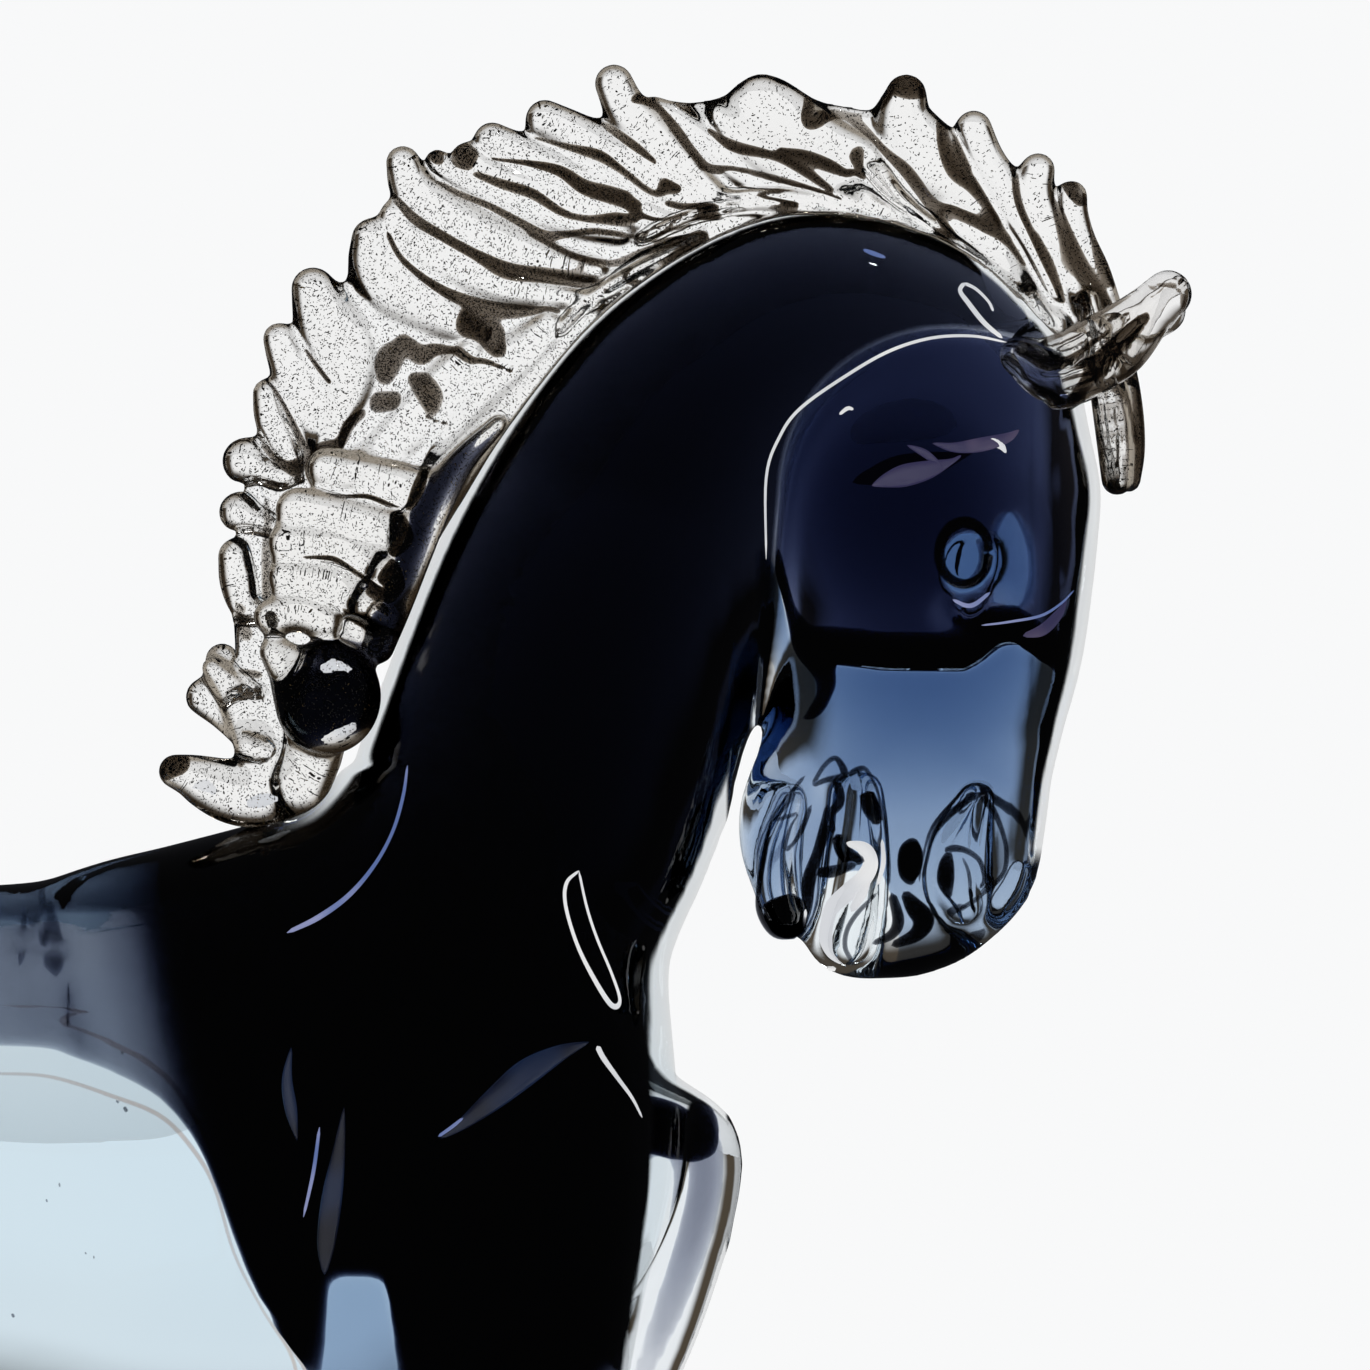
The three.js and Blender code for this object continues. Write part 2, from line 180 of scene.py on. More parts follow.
scene = bpy.context.scene
scene.view_settings.view_transform = "Standard"
scene.view_settings.look = "None"
scene.cycles.max_bounces = 24
scene.cycles.transmission_bounces = 20
scene.cycles.glossy_bounces = 8
scene.cycles.transparent_max_bounces = 16
scene.cycles.caustics_refractive = False
scene.cycles.caustics_reflective = False


def softbox(name, place, size, watts):
    """A square lamp that faces the horse."""
    lamp = bpy.data.lights.new(name, "AREA")
    lamp.size = size
    lamp.energy = watts
    shown = bpy.data.objects.new(name, lamp)
    shown.location = place
    facing = (look_at - np.array(place)) / np.linalg.norm(look_at - np.array(place))
    shown.rotation_euler = (math.acos(-facing[2]), 0, math.atan2(-facing[0], facing[1]))
    bpy.context.scene.collection.objects.link(shown)
    return shown


softbox("key_softbox", (0.45, -0.9, 1.6), 0.04, 0.3)
softbox("back_softbox", (0.2, 0.75, 1.7), 0.2, 3.0).visible_glossy = False


def material(name, **sockets):
    """A named material with one Principled shader, whose sockets are given as plain values."""
    made = bpy.data.materials.new(name)
    made.use_nodes = True
    shader = made.node_tree.nodes["Principled BSDF"]
    for socket, value in sockets.items():
        shader.inputs[socket.replace("_", " ")].default_value = value
    return made, Node(made.node_tree, shader.outputs[0]), shader


def shown_mesh(name, points, faces, finish, body="root"):
    """A smooth-shaded mesh object at the origin, with its finish, riding on its body."""
    data = bpy.data.meshes.new(name)
    data.from_pydata([], [], [])
    data.vertices.add(len(points))
    data.vertices.foreach_set("co", np.asarray(points, np.float32).ravel())
    corners = np.asarray(faces, np.int32)
    data.loops.add(corners.size)
    data.loops.foreach_set("vertex_index", corners.ravel())
    data.polygons.add(len(corners))
    data.polygons.foreach_set("loop_start", np.arange(0, corners.size, corners.shape[1], dtype=np.int32))
    data.update(calc_edges=True)
    data.validate()
    data.shade_smooth()
    data.materials.append(finish)
    shown = bpy.data.objects.new(name, data)
    bpy.context.scene.collection.objects.link(shown)
    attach(shown, body)
    return shown


turns = np.linspace(0, 2 * math.pi, 96, endpoint=False)
rim = np.stack([FLOOR_RADIUS * np.cos(turns), FLOOR_RADIUS * np.sin(turns), 0 * turns], 1)
floor_data = bpy.data.meshes.new("floor")
floor_data.from_pydata(rim.tolist(), [], [list(range(len(rim)))])
floor = bpy.data.objects.new("floor", floor_data)
bpy.context.scene.collection.objects.link(floor)
floor_paint, _, _ = material("floor_paint", Base_Color=(0.82, 0.82, 0.82, 1), Roughness=0.7)
floor_data.materials.append(floor_paint)
floor.visible_glossy = False

# The body: one gather of clear glass over a dark blue core, swung, necked and pinched into a horse.
# Its surface is fire-polished, so every form flows into the next and nothing has an edge.
FAR_OFF = 40.0
PAD = 14.0


def resampled(stations, steps=8):
    """A smooth run of stations through the given ones. A station is x, y, z, half depth and half width."""
    run = np.array(stations, float)
    run = np.vstack([2 * run[0] - run[1], run, 2 * run[-1] - run[-2]])
    t = np.linspace(0, 1, steps, endpoint=False)[:, None]
    spans = [
        0.5 * (2 * b + (c - a) * t + (2 * a - 5 * b + 4 * c - d) * t ** 2 + (3 * b - a - 3 * c + d) * t ** 3)
        for a, b, c, d in zip(run[:-3], run[1:-2], run[2:-1], run[3:])
    ]
    return np.vstack([*spans, run[-2:-1]])


def grid_line(*stretches):
    """Coordinates along one axis, from stretches of start, end and step."""
    return np.unique(np.concatenate([np.arange(start, end, step) for start, end, step in stretches]))


class Gather:
    """Hot glass as a field on a grid: below 0 inside, above 0 outside, about the distance near its skin."""

    def __init__(self, *lines):
        self.lines = lines
        self.field = np.full([len(line) for line in lines], FAR_OFF)

    def window(self, low, high):
        return tuple(slice(*np.searchsorted(line, (a, b))) for line, a, b in zip(self.lines, low, high))

    def axes(self, window):
        x, y, z = (line[part] for line, part in zip(self.lines, window))
        return x[:, None, None], y[None, :, None], z[None, None, :]

    def form(self, stations, share=1.0, grow=0.0, steps=8):
        """The window and the field of ovals strung along a spine, with round ends."""
        run = resampled(stations, steps)
        run[:, 3:] = np.maximum(run[:, 3:] * share + grow, 0.3)
        reach = run[:, 3:].max() + PAD
        whole = self.window(run[:, :3].min(0) - reach, run[:, :3].max(0) + reach)
        mass = np.full([part.stop - part.start for part in whole], FAR_OFF)
        for a, b in zip(run[:-1], run[1:]):
            reach = np.maximum(a[3:], b[3:]).max() + PAD
            near = self.window(np.minimum(a[:3], b[:3]) - reach, np.maximum(a[:3], b[:3]) + reach)
            x, y, z = self.axes(near)
            dx, dz = b[0] - a[0], b[2] - a[2]
            t = np.clip(((x - a[0]) * dx + (z - a[2]) * dz) / (dx * dx + dz * dz + 1e-9), 0, 1)
            deep = a[3] + t * (b[3] - a[3])
            wide = a[4] + t * (b[4] - a[4])
            side = (x - a[0] - t * dx) ** 2 + (z - a[2] - t * dz) ** 2
            out = (y - a[1] - t * (b[1] - a[1])) ** 2
            first = np.sqrt(side / deep ** 2 + out / wide ** 2)
            second = np.sqrt(side / deep ** 4 + out / wide ** 4) + 1e-6
            local = tuple(slice(n.start - w.start, n.stop - w.start) for n, w in zip(near, whole))
            np.minimum(mass[local], first * (first - 1) / second, out=mass[local])
        return whole, mass

    def bead(self, at, size, lean=0.0):
        """The window and the field of an oval bead."""
        reach = max(size) + PAD
        near = self.window(np.array(at) - reach, np.array(at) + reach)
        x, y, z = self.axes(near)
        x, y, z = x - at[0], y - at[1], z - at[2]
        u = (x * math.cos(lean) - z * math.sin(lean)) ** 2
        w = (x * math.sin(lean) + z * math.cos(lean)) ** 2
        first = np.sqrt(u / size[0] ** 2 + y ** 2 / size[1] ** 2 + w / size[2] ** 2)
        second = np.sqrt(u / size[0] ** 4 + y ** 2 / size[1] ** 4 + w / size[2] ** 4) + 1e-6
        return near, first * (first - 1) / second

    def join(self, shape, blend):
        near, mass = shape
        held = self.field[near]
        web = np.maximum(blend - np.abs(held - mass), 0) / blend
        self.field[near] = np.minimum(held, mass) - web * web * blend / 4

    def carve(self, shape, blend):
        near, mass = shape
        held = self.field[near]
        web = np.maximum(blend - np.abs(held + mass), 0) / blend
        self.field[near] = np.maximum(held, -mass) + web * web * blend / 4

    def melt(self, rounds=1):
        """Softens the field, as heat rounds every crease."""
        for _ in range(rounds):
            for axis in range(3):
                f = np.moveaxis(self.field, axis, 0)
                f[1:-1] = 0.25 * f[:-2] + 0.5 * f[1:-1] + 0.25 * f[2:]

    def skin(self, smoothing=3):
        """The skin's points and its four-sided faces."""
        cells, spots, rings = [], [], []
        for axis in range(3):
            f = np.moveaxis(self.field, axis, 0)
            where = np.argwhere((f[:-1] < 0) != (f[1:] < 0))
            near, far = f[:-1][tuple(where.T)], f[1:][tuple(where.T)]
            order = [axis, *[k for k in range(3) if k != axis]]
            where = where[:, np.argsort(order)]
            spot = np.stack([line[where[:, k]] for k, line in enumerate(self.lines)], 1)
            line = self.lines[axis]
            spot[:, axis] += near / (near - far) * (line[where[:, axis] + 1] - line[where[:, axis]])
            ring = []
            for u, v in ((0, 0), (-1, 0), (-1, -1), (0, -1)):
                cell = where.copy()
                cell[:, (axis + 1) % 3] += u
                cell[:, (axis + 2) % 3] += v
                ring.append(np.ravel_multi_index(cell.T, self.field.shape))
            ring = np.stack(ring, 1)
            inwards = near >= 0
            ring[inwards] = ring[inwards][:, ::-1]
            rings.append(ring)
            spots.append(np.repeat(spot, 4, axis=0))
            cells.append(ring.ravel())
        ids, back = np.unique(np.concatenate(cells), return_inverse=True)
        spots = np.concatenate(spots)
        share = np.bincount(back)
        points = np.stack([np.bincount(back, weights=spots[:, k]) / share for k in range(3)], 1)
        faces = np.searchsorted(ids, np.concatenate(rings))
        return smoothed(points, faces, smoothing), faces


def smoothed(points, faces, rounds):
    """The points after rounds of smoothing that keep the volume."""
    sides = np.concatenate([faces[:, [0, 1]], faces[:, [1, 2]], faces[:, [2, 3]], faces[:, [3, 0]]])
    sides = np.unique(np.sort(sides, 1), axis=0)
    start, end = sides.T
    count = np.bincount(np.concatenate([start, end]), minlength=len(points))[:, None]
    for step in [0.5, -0.53] * rounds:
        middle = np.stack([
            np.bincount(start, weights=points[end, k], minlength=len(points))
            + np.bincount(end, weights=points[start, k], minlength=len(points)) for k in range(3)], 1) / count
        points = points + step * (middle - points)
    return points


TRUNK = [
    (-82, 0, 238, 48, 36), (-50, 0, 235, 57, 41), (-18, 0, 230, 56, 40), (18, 0, 227.5, 60, 41),
    (42, 0, 227.5, 66.5, 42), (60, 0, 228.5, 67, 41), (78, 0, 229.5, 53, 37),
]
NECK = [
    (85, 0, 250, 44, 36), (98, 0, 280, 36, 32), (108, 0, 305, 37, 28), (120, 0, 341, 35, 25),
    (134, 0, 365, 34.5, 22.5), (146, 0, 381, 32, 20.5), (163, 0, 392, 29.5, 18.5), (181, 0, 392, 25, 17),
    (196, 0, 386, 19, 15),
]
HEAD = [
    (187, 0, 363, 33.2, 18), (186, 0, 351, 33, 19.5), (185, 0, 337, 32, 18), (183.8, 0, 325, 30, 15.5),
    (183, 0, 313, 28, 13.5), (182.4, 0, 301, 26.6, 12.8), (182, 0, 293, 24, 12.8), (180, 0, 287, 19.5, 11),
]
NOSE = [(198, 0, 312, 8, 9), (196.5, 0, 300, 9.5, 11.5), (194, 0, 291, 12.4, 12)]
UPPER_LIP = [(180, 0, 288, 15, 10.5), (170.5, 0, 278, 10, 9.5)]
CHIN = [(166, 0, 318, 10, 8), (158.5, 0, 299, 10.6, 8.5), (160, 0, 285, 9, 8)]
NEAR_SIDE, FAR_SIDE = -1, 1
SIDE_UNIT = 5
SIDE_SOLE = 463


def drawn(y, half_width, *stations):
    """Stations of one half width, from side-view places and half depths in fifths of a grid step."""
    return [(x / SIDE_UNIT, y, SIDE_SOLE - z / SIDE_UNIT, r / SIDE_UNIT, half_width) for x, z, r in stations]


NEAR_FORELEG = [
    (94, -16, 246, 30, 20), (101, -19, 208, 26, 18.5), (104, -20, 180, 20.5, 15.5),
    (105, -20, 150, 14.5, 12.5), (106, -19.5, 118, 10.5, 10), (107, -19, 98, 10.6, 10),
    (105, -19, 78, 7.8, 7.6), (104, -19, 50, 7.2, 7.2), (105, -19, 28, 8.8, 8.6), (110, -19, 16, 8, 8),
]
FAR_FORELEG = [
    (92, 16, 226, 28, 18), (112, 19, 230, 16, 13.5), (128, 21, 236, 9.6, 10), (138.5, 21, 233, 9.4, 9.6),
    (138, 21, 220, 9.2, 9.4), (133, 21, 200, 8.2, 8), (125, 21, 178, 7.2, 7.2), (119, 21, 160, 8.4, 8),
    (111, 21, 151, 7.4, 7.2),
]
RAISED_HOOF = [(112, 21, 150, 8.6, 8.6), (104, 21, 146, 11, 11)]


def hind_leg(side, stride):
    return [
        (-80, 17 * side, 230, 38, 20), (-84 + 0.45 * stride, 20 * side, 190, 27, 17),
        (-92 + 0.85 * stride, 20 * side, 155, 15.5, 12), (-108 + stride, 20 * side, 118, 10.4, 9.5),
        (-107 + stride, 20 * side, 88, 7.8, 7.6), (-104 + stride, 20 * side, 50, 7.4, 7.4),
        (-103 + stride, 20 * side, 29, 9, 8.6), (-97 + stride, 20 * side, 16, 8, 8),
    ]


NEAR_HIND = hind_leg(NEAR_SIDE, 0)
FAR_HIND = hind_leg(FAR_SIDE, 26)
HOOF_TOP, HOOF_CROWN, HOOF_SOLE, HOOF_FORWARD = 8.6, 10.5, 12, 3
HOOF_HEIGHT, CROWN_HEIGHT = 13, 7


def standing_hoof(leg):
    x, y, _ = leg[-1][:3]
    ahead = x + HOOF_FORWARD
    rings = ((HOOF_HEIGHT, HOOF_TOP), (CROWN_HEIGHT, HOOF_CROWN), (0, HOOF_SOLE))
    return [(ahead, y, height, half, half) for height, half in rings]


BODY_LINES = (
    grid_line((-132, 56, 2.5), (56, 146, 1.8), (146, 206, 0.85), (206, 226, 1.2)),
    grid_line((-50, -24, 1.9), (-24, 24, 1.2), (24, 50, 1.9)),
    grid_line((-6, 262, 2.5), (262, 312, 0.85), (312, 424, 1.3)),
)
body = Gather(*BODY_LINES)
for stations, blend in (
    (TRUNK, 1), (NECK, 26), (HEAD, 9), (NOSE, 5), (UPPER_LIP, 5), (CHIN, 3), (NEAR_FORELEG, 16),
    (FAR_FORELEG, 14), (NEAR_HIND, 16), (FAR_HIND, 16),
):
    body.join(body.form(stations), blend)
for leg in (NEAR_FORELEG, NEAR_HIND, FAR_HIND):
    body.join(body.form(standing_hoof(leg)), 3)
body.join(body.form(RAISED_HOOF), 3)

# Both sides of the face are alike: the cheek, the eyeball and its lower lid, then the work of the hot pick.
# That is the lobe of the lower lip, the plug in the mouth and its slit, the nose flap and the nostril leaf.
CHEEK_BALL, CHEEK_LEAN = ((180, 6, 362), (26, 15.5, 29)), 0.2
EYE_BALL, EYE_LEAN = ((192.4, 18.5, 350.6), (4.6, 4.2, 5.8)), 0.25
LOWER_LID = (19, 3, (950, 610, 6), (970, 618, 7), (985, 606, 5))
LIP_LOBE = (9.5, 5.5, (790, 800, 10), (776, 850, 17), (776, 890, 19), (784, 915, 16))
MOUTH_PLUG = (10, 6, (862, 790, 14), (862, 850, 22), (856, 900, 24), (846, 940, 24))
MOUTH_SLIT = (15, 4, (826, 790, 3), (820, 850, 5), (812, 900, 5), (804, 935, 5))
NOSE_FLAP = (7, 4, (1000, 904, 7), (1011, 886, 9), (1019, 868, 6))
NOSTRIL_LEAF = (12, 4, (974, 795, 5), (960, 835, 18), (952, 875, 24), (962, 905, 18))


def on_side(side, detail):
    """The field of a detail drawn in side view, at its distance from the middle on that side."""
    out, half_width, *stations = detail
    return body.form(drawn(out * side, half_width, *stations), steps=4)


def ball_on_side(side, ball, lean):
    """The field of an oval ball, at its distance from the middle on that side."""
    (along, out, height), size = ball
    return body.bead((along, out * side, height), size, lean)


for side in (NEAR_SIDE, FAR_SIDE):
    body.join(ball_on_side(side, CHEEK_BALL, CHEEK_LEAN), 3)
    body.join(ball_on_side(side, EYE_BALL, EYE_LEAN), 0.8)
    body.carve(on_side(side, LOWER_LID), 1)
    body.join(on_side(side, LIP_LOBE), 1.5)
    body.join(on_side(side, MOUTH_PLUG), 2)
    body.carve(on_side(side, MOUTH_SLIT), 1)
    body.join(on_side(side, NOSE_FLAP), 1.5)
    body.join(on_side(side, NOSTRIL_LEAF), 1.5)
body.field = np.maximum(body.field, -BODY_LINES[2])
body.melt()
casing_points, casing_faces = body.skin()
casing_parts = material("clear_casing", Roughness=0.0, IOR=1.5, Transmission_Weight=1.0)
casing_glass, casing_end, casing_shader = casing_parts


def mottled(parts, socket, first, second, scale, low=0.4, high=0.6):
    """Lets a colour drift between two tones, in clouds that stay with the piece."""
    finish, end, shader = parts
    cloud = end.output("ShaderNodeTexNoise", out=0, Scale=scale, Detail=2.0,
                       Vector=end.output("ShaderNodeTexCoord", out=3))
    tone = end.output("ShaderNodeMix", {"data_type": "RGBA"}, out=2,
                      i0=cloud.smooth(low, high), i6=(*first, 1), i7=(*second, 1))
    finish.node_tree.links.new(tone.socket, shader.inputs[socket])
    return finish


# Where the skin turns away, the clear casing stands alone in front of the light. There its slant makes it
# see-through, which paints a pale rim of backlight, widened along the face front.
# It is thin over the back, the jaw and the lips, and shows no painted rim there.
RIM_TURN = (0.5, 0.59)
FACE_RIM = 0.13
RIM_CLEAR = 0.86
LIPS_END, JAW_START, JAW_END = (289, 294), (145, 146), (340, 346)
NOSE_START, FRONT_START, BACK_END = (196, 200), (192, 197), (52, 70)
mottled(casing_parts, "Base Color", (1.0, 1.0, 1.0), (0.96, 0.97, 0.985), 14.0)
spot = casing_end.make("ShaderNodeSeparateXYZ", Vector=casing_end.output("ShaderNodeTexCoord", out=3))
spot_x = (Node(casing_glass.node_tree, spot.outputs[0]) - float(grid_zero)) * float(1 / unit)
spot_z = (Node(casing_glass.node_tree, spot.outputs[2]) - float(sole_height)) * float(1 / unit)
above_lips = spot_z.smooth(*LIPS_END)
lips = spot_x.smooth(*JAW_START) * (1.0 - spot_z.smooth(*JAW_END))
lips = lips * (1.0 - spot_x.smooth(*NOSE_START) * above_lips)
face_front = spot_x.smooth(*FRONT_START) * above_lips
skin_turn = casing_end.output("ShaderNodeLayerWeight", out=1, Blend=0.5)
rim_turn = (skin_turn + face_front * FACE_RIM).smooth(*RIM_TURN)
painted_rim_light = rim_turn * spot_x.smooth(*BACK_END) * (1.0 - lips)
casing_glass.node_tree.links.new((1.0 - painted_rim_light * RIM_CLEAR).socket, casing_shader.inputs["Alpha"])


def tint(finish, color, density):
    """Fills a glass with a colour that deepens with its thickness, in takings for each metre."""
    tree = finish.node_tree
    fill = tree.nodes.new("ShaderNodeVolumeAbsorption")
    fill.inputs["Color"].default_value = (*color, 1)
    fill.inputs["Density"].default_value = density
    tree.links.new(fill.outputs[0], tree.nodes["Material Output"].inputs["Volume"])


tint(casing_glass, (0.25, 0.62, 0.81), 7.0)
casing = shown_mesh("horse_casing", placed(casing_points), casing_faces, casing_glass)
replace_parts(casing, "horse")

# The core: the dark blue glass that was gathered first. It fills the neck, the chest and the legs.
# It stops short of the skin, so a pale rim of clear glass shows all round it. The flanks are almost clear.
RIM_HEIGHTS = (60, 120, 160, 215, 255, 300, 340, 420)
RIM_DEPTHS = (4.4, 4.6, 4.8, 5.2, 5.6, 5.4, 5.0, 4.8)
CREST_RIM = 3.0


def sealed(name, finish, field):
    """One body of coloured glass inside the casing."""
    gather = Gather(*BODY_LINES)
    gather.field = field
    gather.melt()
    points, faces = gather.skin()
    return shown_mesh(name, placed(points), faces, finish)


def stained(name, color, density):
    """A coloured glass that light passes straight into from the casing round it."""
    made = mottled(material(name, Roughness=0.0, IOR=1.0, Transmission_Weight=1.0), "Base Color",
                   (1.0, 1.0, 1.0), (0.9, 0.92, 0.96), 26.0)
    tint(made, color, density)
    return made


def mass(*shapes, blend=4.0):
    """The field of some forms melted together, over the whole grid of the body."""
    gather = Gather(*BODY_LINES)
    for shape in shapes:
        gather.join(shape, blend)
    return gather.field


x, y, z = body.axes((slice(None),) * 3)
from_middle_plane = np.abs(y)
inner = body.field + np.interp(z, RIM_HEIGHTS, RIM_DEPTHS)

# Along the crest the core comes close to the skin, and it runs down into the near foreleg.
CREST_SHARE, CREST_BACK, CREST_RISE = 0.86, 4, 3
crest_run = [(x - CREST_BACK, y, z + CREST_RISE, deep, wide) for x, y, z, deep, wide in NECK[4:]]
crest = mass(body.form(crest_run, share=CREST_SHARE))
inner = np.minimum(inner, np.maximum(crest, body.field + CREST_RIM))
KNEE_STATION = 3
upper_leg = body.form(NEAR_FORELEG[:KNEE_STATION + 1], share=0.74)
lower_leg = body.form(NEAR_FORELEG[KNEE_STATION:], share=0.56)
inner = np.minimum(inner, mass(upper_leg, lower_leg))
HEAD_SEAM, HEAD_WIDER = 1, 12
head_side = mass(body.form([(x, y, z, deep + HEAD_SEAM, wide + HEAD_WIDER) for x, y, z, deep, wide in HEAD]))

# The flank below this line is clear, back from the shoulder.
FLANK_X = (-140, 0, 12, 25, 34, 40.6, 45, 48.8, 54.4, 59.4, 62)
FLANK_TOP = (251, 250, 249.6, 245.8, 242, 235.8, 228, 215, 203.8, 195.8, 189)
FLANK_END, FLANK_STEEP, FLANK_SOFT = 61.5, 3, 1.6
flank = z - np.interp(x, FLANK_X, FLANK_TOP)
flank = np.where(x > FLANK_END, FLANK_STEEP * (x - FLANK_END) + 0 * flank, flank) / FLANK_SOFT

# At the elbow a window opens in the core, narrow at its top.
ELBOW_TOP, ELBOW_LEFT, ELBOW_RIGHT = 213, 65, 78
LEFT_SPREAD, RIGHT_SPREAD = 0.16, 0.26
below = ELBOW_TOP - z
elbow_left = ELBOW_LEFT - LEFT_SPREAD * below - x
elbow_right = x - ELBOW_RIGHT - RIGHT_SPREAD * below
elbow = np.maximum(-below, np.maximum(elbow_left, elbow_right))

# Over the back the core thins to a sheet in the middle, with dark stripes where the gather was folded.
BACK_X, BACK_HALF = (22, 32, 44), (3.8, 7.0, 40)
BACK_LEAN, BACK_LEVEL, BACK_SOFT = 0.22, 262, 0.7
back_along = x + BACK_LEAN * (z - BACK_LEVEL)
back_sheet = (from_middle_plane - np.interp(back_along, BACK_X, BACK_HALF)) * BACK_SOFT
thick = np.maximum(np.maximum(inner, back_sheet), -flank)
BACK_STRIPES = [
    drawn(0, 26, (30, 925, 6), (62, 972, 6), (84, 1050, 7), (112, 1090, 8)),
    drawn(0, 22, (26, 965, 3), (35, 1025, 5), (52, 1062, 5)),
    drawn(0, 26, (-640, 925, 12), (-300, 935, 12), (-10, 925, 12), (60, 918, 11), (120, 912, 14),
            (165, 905, 14)),
]
STRIPE_RIM = 6
stripes = mass(*[body.form(stripe) for stripe in BACK_STRIPES], blend=1)
thick = np.minimum(thick, np.maximum(np.maximum(stripes, body.field + STRIPE_RIM), -flank))
core_field = np.maximum(thick, np.maximum(-elbow, -head_side))
cobalt = stained("cobalt_core", (0.04, 0.07, 0.2), 240.0)
sealed("horse_core", cobalt, core_field)
ink = stained("cobalt_thread", (0.04, 0.07, 0.2), 900.0)
RAISED_LEG_CORE = [
    (92, 16, 230, 16, 10), (112, 19, 235, 8, 10), (127, 20, 237.5, 6, 8), (135, 20.5, 235.5, 5.6, 7.4),
    (139, 20.5, 233.5, 3.6, 5),
]
sealed("foreleg_core", ink, mass(body.form(RAISED_LEG_CORE)))

# The head's own core: deep navy behind the cheek, with a clear seam towards the neck.
# Its lower edge is a dark fold. Two paler windows show the eye and the hollow in front of it.
FOLD_X = (150, 155, 160, 164, 169, 178, 192, 195, 198, 201, 204, 208, 213, 222)
FOLD_Z = (356, 346, 335, 331, 331, 330, 330, 332, 335, 335.4, 333, 330, 329, 329)
HEAD_RIM, FOLD_RIM = 4.9, 4.8
RIGHT_THROUGH = 60
EYE_WINDOW = (3.8, RIGHT_THROUGH, 4.4)
BROW_WINDOW, BROW_LEAN = ((200.2, 0, 351), (4.0, RIGHT_THROUGH, 9.6)), -0.1
eye_x, _, eye_z = EYE_BALL[0]
fold_height = np.interp(x, FOLD_X, FOLD_Z)
behind_head = head_side + HEAD_SEAM
head_inner = np.maximum(body.field + HEAD_RIM, behind_head)
eye_window = body.bead((eye_x, 0, eye_z), EYE_WINDOW, EYE_LEAN)
brow_window = body.bead(*BROW_WINDOW, BROW_LEAN)
windows = mass(eye_window, brow_window, blend=1)
VEIL_FROM, VEIL_HALF = 196, 1.3
veiled = np.maximum(windows, np.where(x > VEIL_FROM, VEIL_HALF - from_middle_plane, -FAR_OFF))
cheek_field = np.maximum(np.maximum(head_inner, fold_height + 1 - z), -veiled)
sealed("cheek_core", stained("navy_core", (0.05, 0.11, 0.33), 250.0), cheek_field)
FOLD_HOOK = [
    (164, 0, 334, 2.6, 9), (167, 0, 329, 1.4, 8), (167, 0, 325.5, 1.1, 6), (165, 0, 321.5, 1, 5),
    (161.6, 0, 318.6, 0.6, 3),
]
FRONT_BAND = [
    (217, 0, 372, 2.4, 6), (217, 0, 352, 3, 7), (214, 0, 336, 4, 7), (211, 0, 321, 3.6, 6),
    (208.5, 0, 308, 3.4, 5), (206, 0, 296, 3, 5),
]
FOLD_HIGH, FOLD_HALF, FOLD_TAPER = 8, 13, 1.6
fold = mass(body.form(FOLD_HOOK), body.form(FRONT_BAND), blend=2)
above = z - fold_height
band = np.maximum(np.maximum(-above, above - FOLD_HIGH), from_middle_plane + FOLD_TAPER * above - FOLD_HALF)
fold = np.minimum(fold, band)
sealed("fold_core", ink, np.maximum(fold, np.maximum(body.field + FOLD_RIM, behind_head)))

# Below the fold the blue is spent, and only a pale stain runs on into the muzzle. It thins towards the lips
# and leaves the plug in the mouth clear. The same pale glass fills the windows of the cheek and the elbow.
STAIN_START = 150
STAIN_HEIGHTS, STAIN_RIMS = (278, 300, 330), (2.0, 2.4, 2.8)
THINNING_HEIGHTS, STAIN_HALVES = (280, 300, 326), (4.4, 7.0, 15)
WINDOW_RIM, ELBOW_RIM, ELBOW_HALF = 5, 6, 5
stain_rim = np.interp(z, STAIN_HEIGHTS, STAIN_RIMS)
stain_field = np.maximum(np.maximum(body.field + stain_rim, z - fold_height), STAIN_START - x)
CLEAR_PLUG = ((171.5, 0, 277), (8.0, RIGHT_THROUGH, 12))
clear_plug = mass(body.bead(*CLEAR_PLUG))
thinned = from_middle_plane - np.interp(z, THINNING_HEIGHTS, STAIN_HALVES)
stain_field = np.maximum(np.maximum(stain_field, thinned), -clear_plug)
stain_field = np.minimum(stain_field, np.maximum(windows, body.field + WINDOW_RIM))
elbow_stain = np.maximum(np.maximum(elbow, body.field + ELBOW_RIM), from_middle_plane - ELBOW_HALF)
stain_field = np.minimum(stain_field, elbow_stain)
sealed("muzzle_stain", stained("muzzle_stain", (0.03, 0.25, 0.53), 125.0), stain_field)


def skin_map(side):
    """How far out the skin lies on one side of the body, over the grid's x and z."""
    across, field = BODY_LINES[1][::side], body.field[:, ::side]
    last = np.minimum(field.shape[1] - 1 - np.argmax(field[:, ::-1] < 0, axis=1), len(across) - 2)
    held, beyond = (np.take_along_axis(field, last[:, None] + k, 1)[:, 0] for k in (0, 1))
    skin = across[last] + held / (held - beyond) * (across[last + 1] - across[last])
    return np.where((field < 0).any(axis=1), skin, 0)


def on_map(values, x, z):
    """The values of a map at some places between its points."""
    lines = (BODY_LINES[0], BODY_LINES[2])
    i, k = (np.interp(at, line, np.arange(len(line))) for at, line in zip((x, z), lines))
    low_i, low_k = i.astype(int), k.astype(int)
    u, w = i - low_i, k - low_k
    return ((values[low_i, low_k] * (1 - u) + values[low_i + 1, low_k] * u) * (1 - w)
            + (values[low_i, low_k + 1] * (1 - u) + values[low_i + 1, low_k + 1] * u) * w)


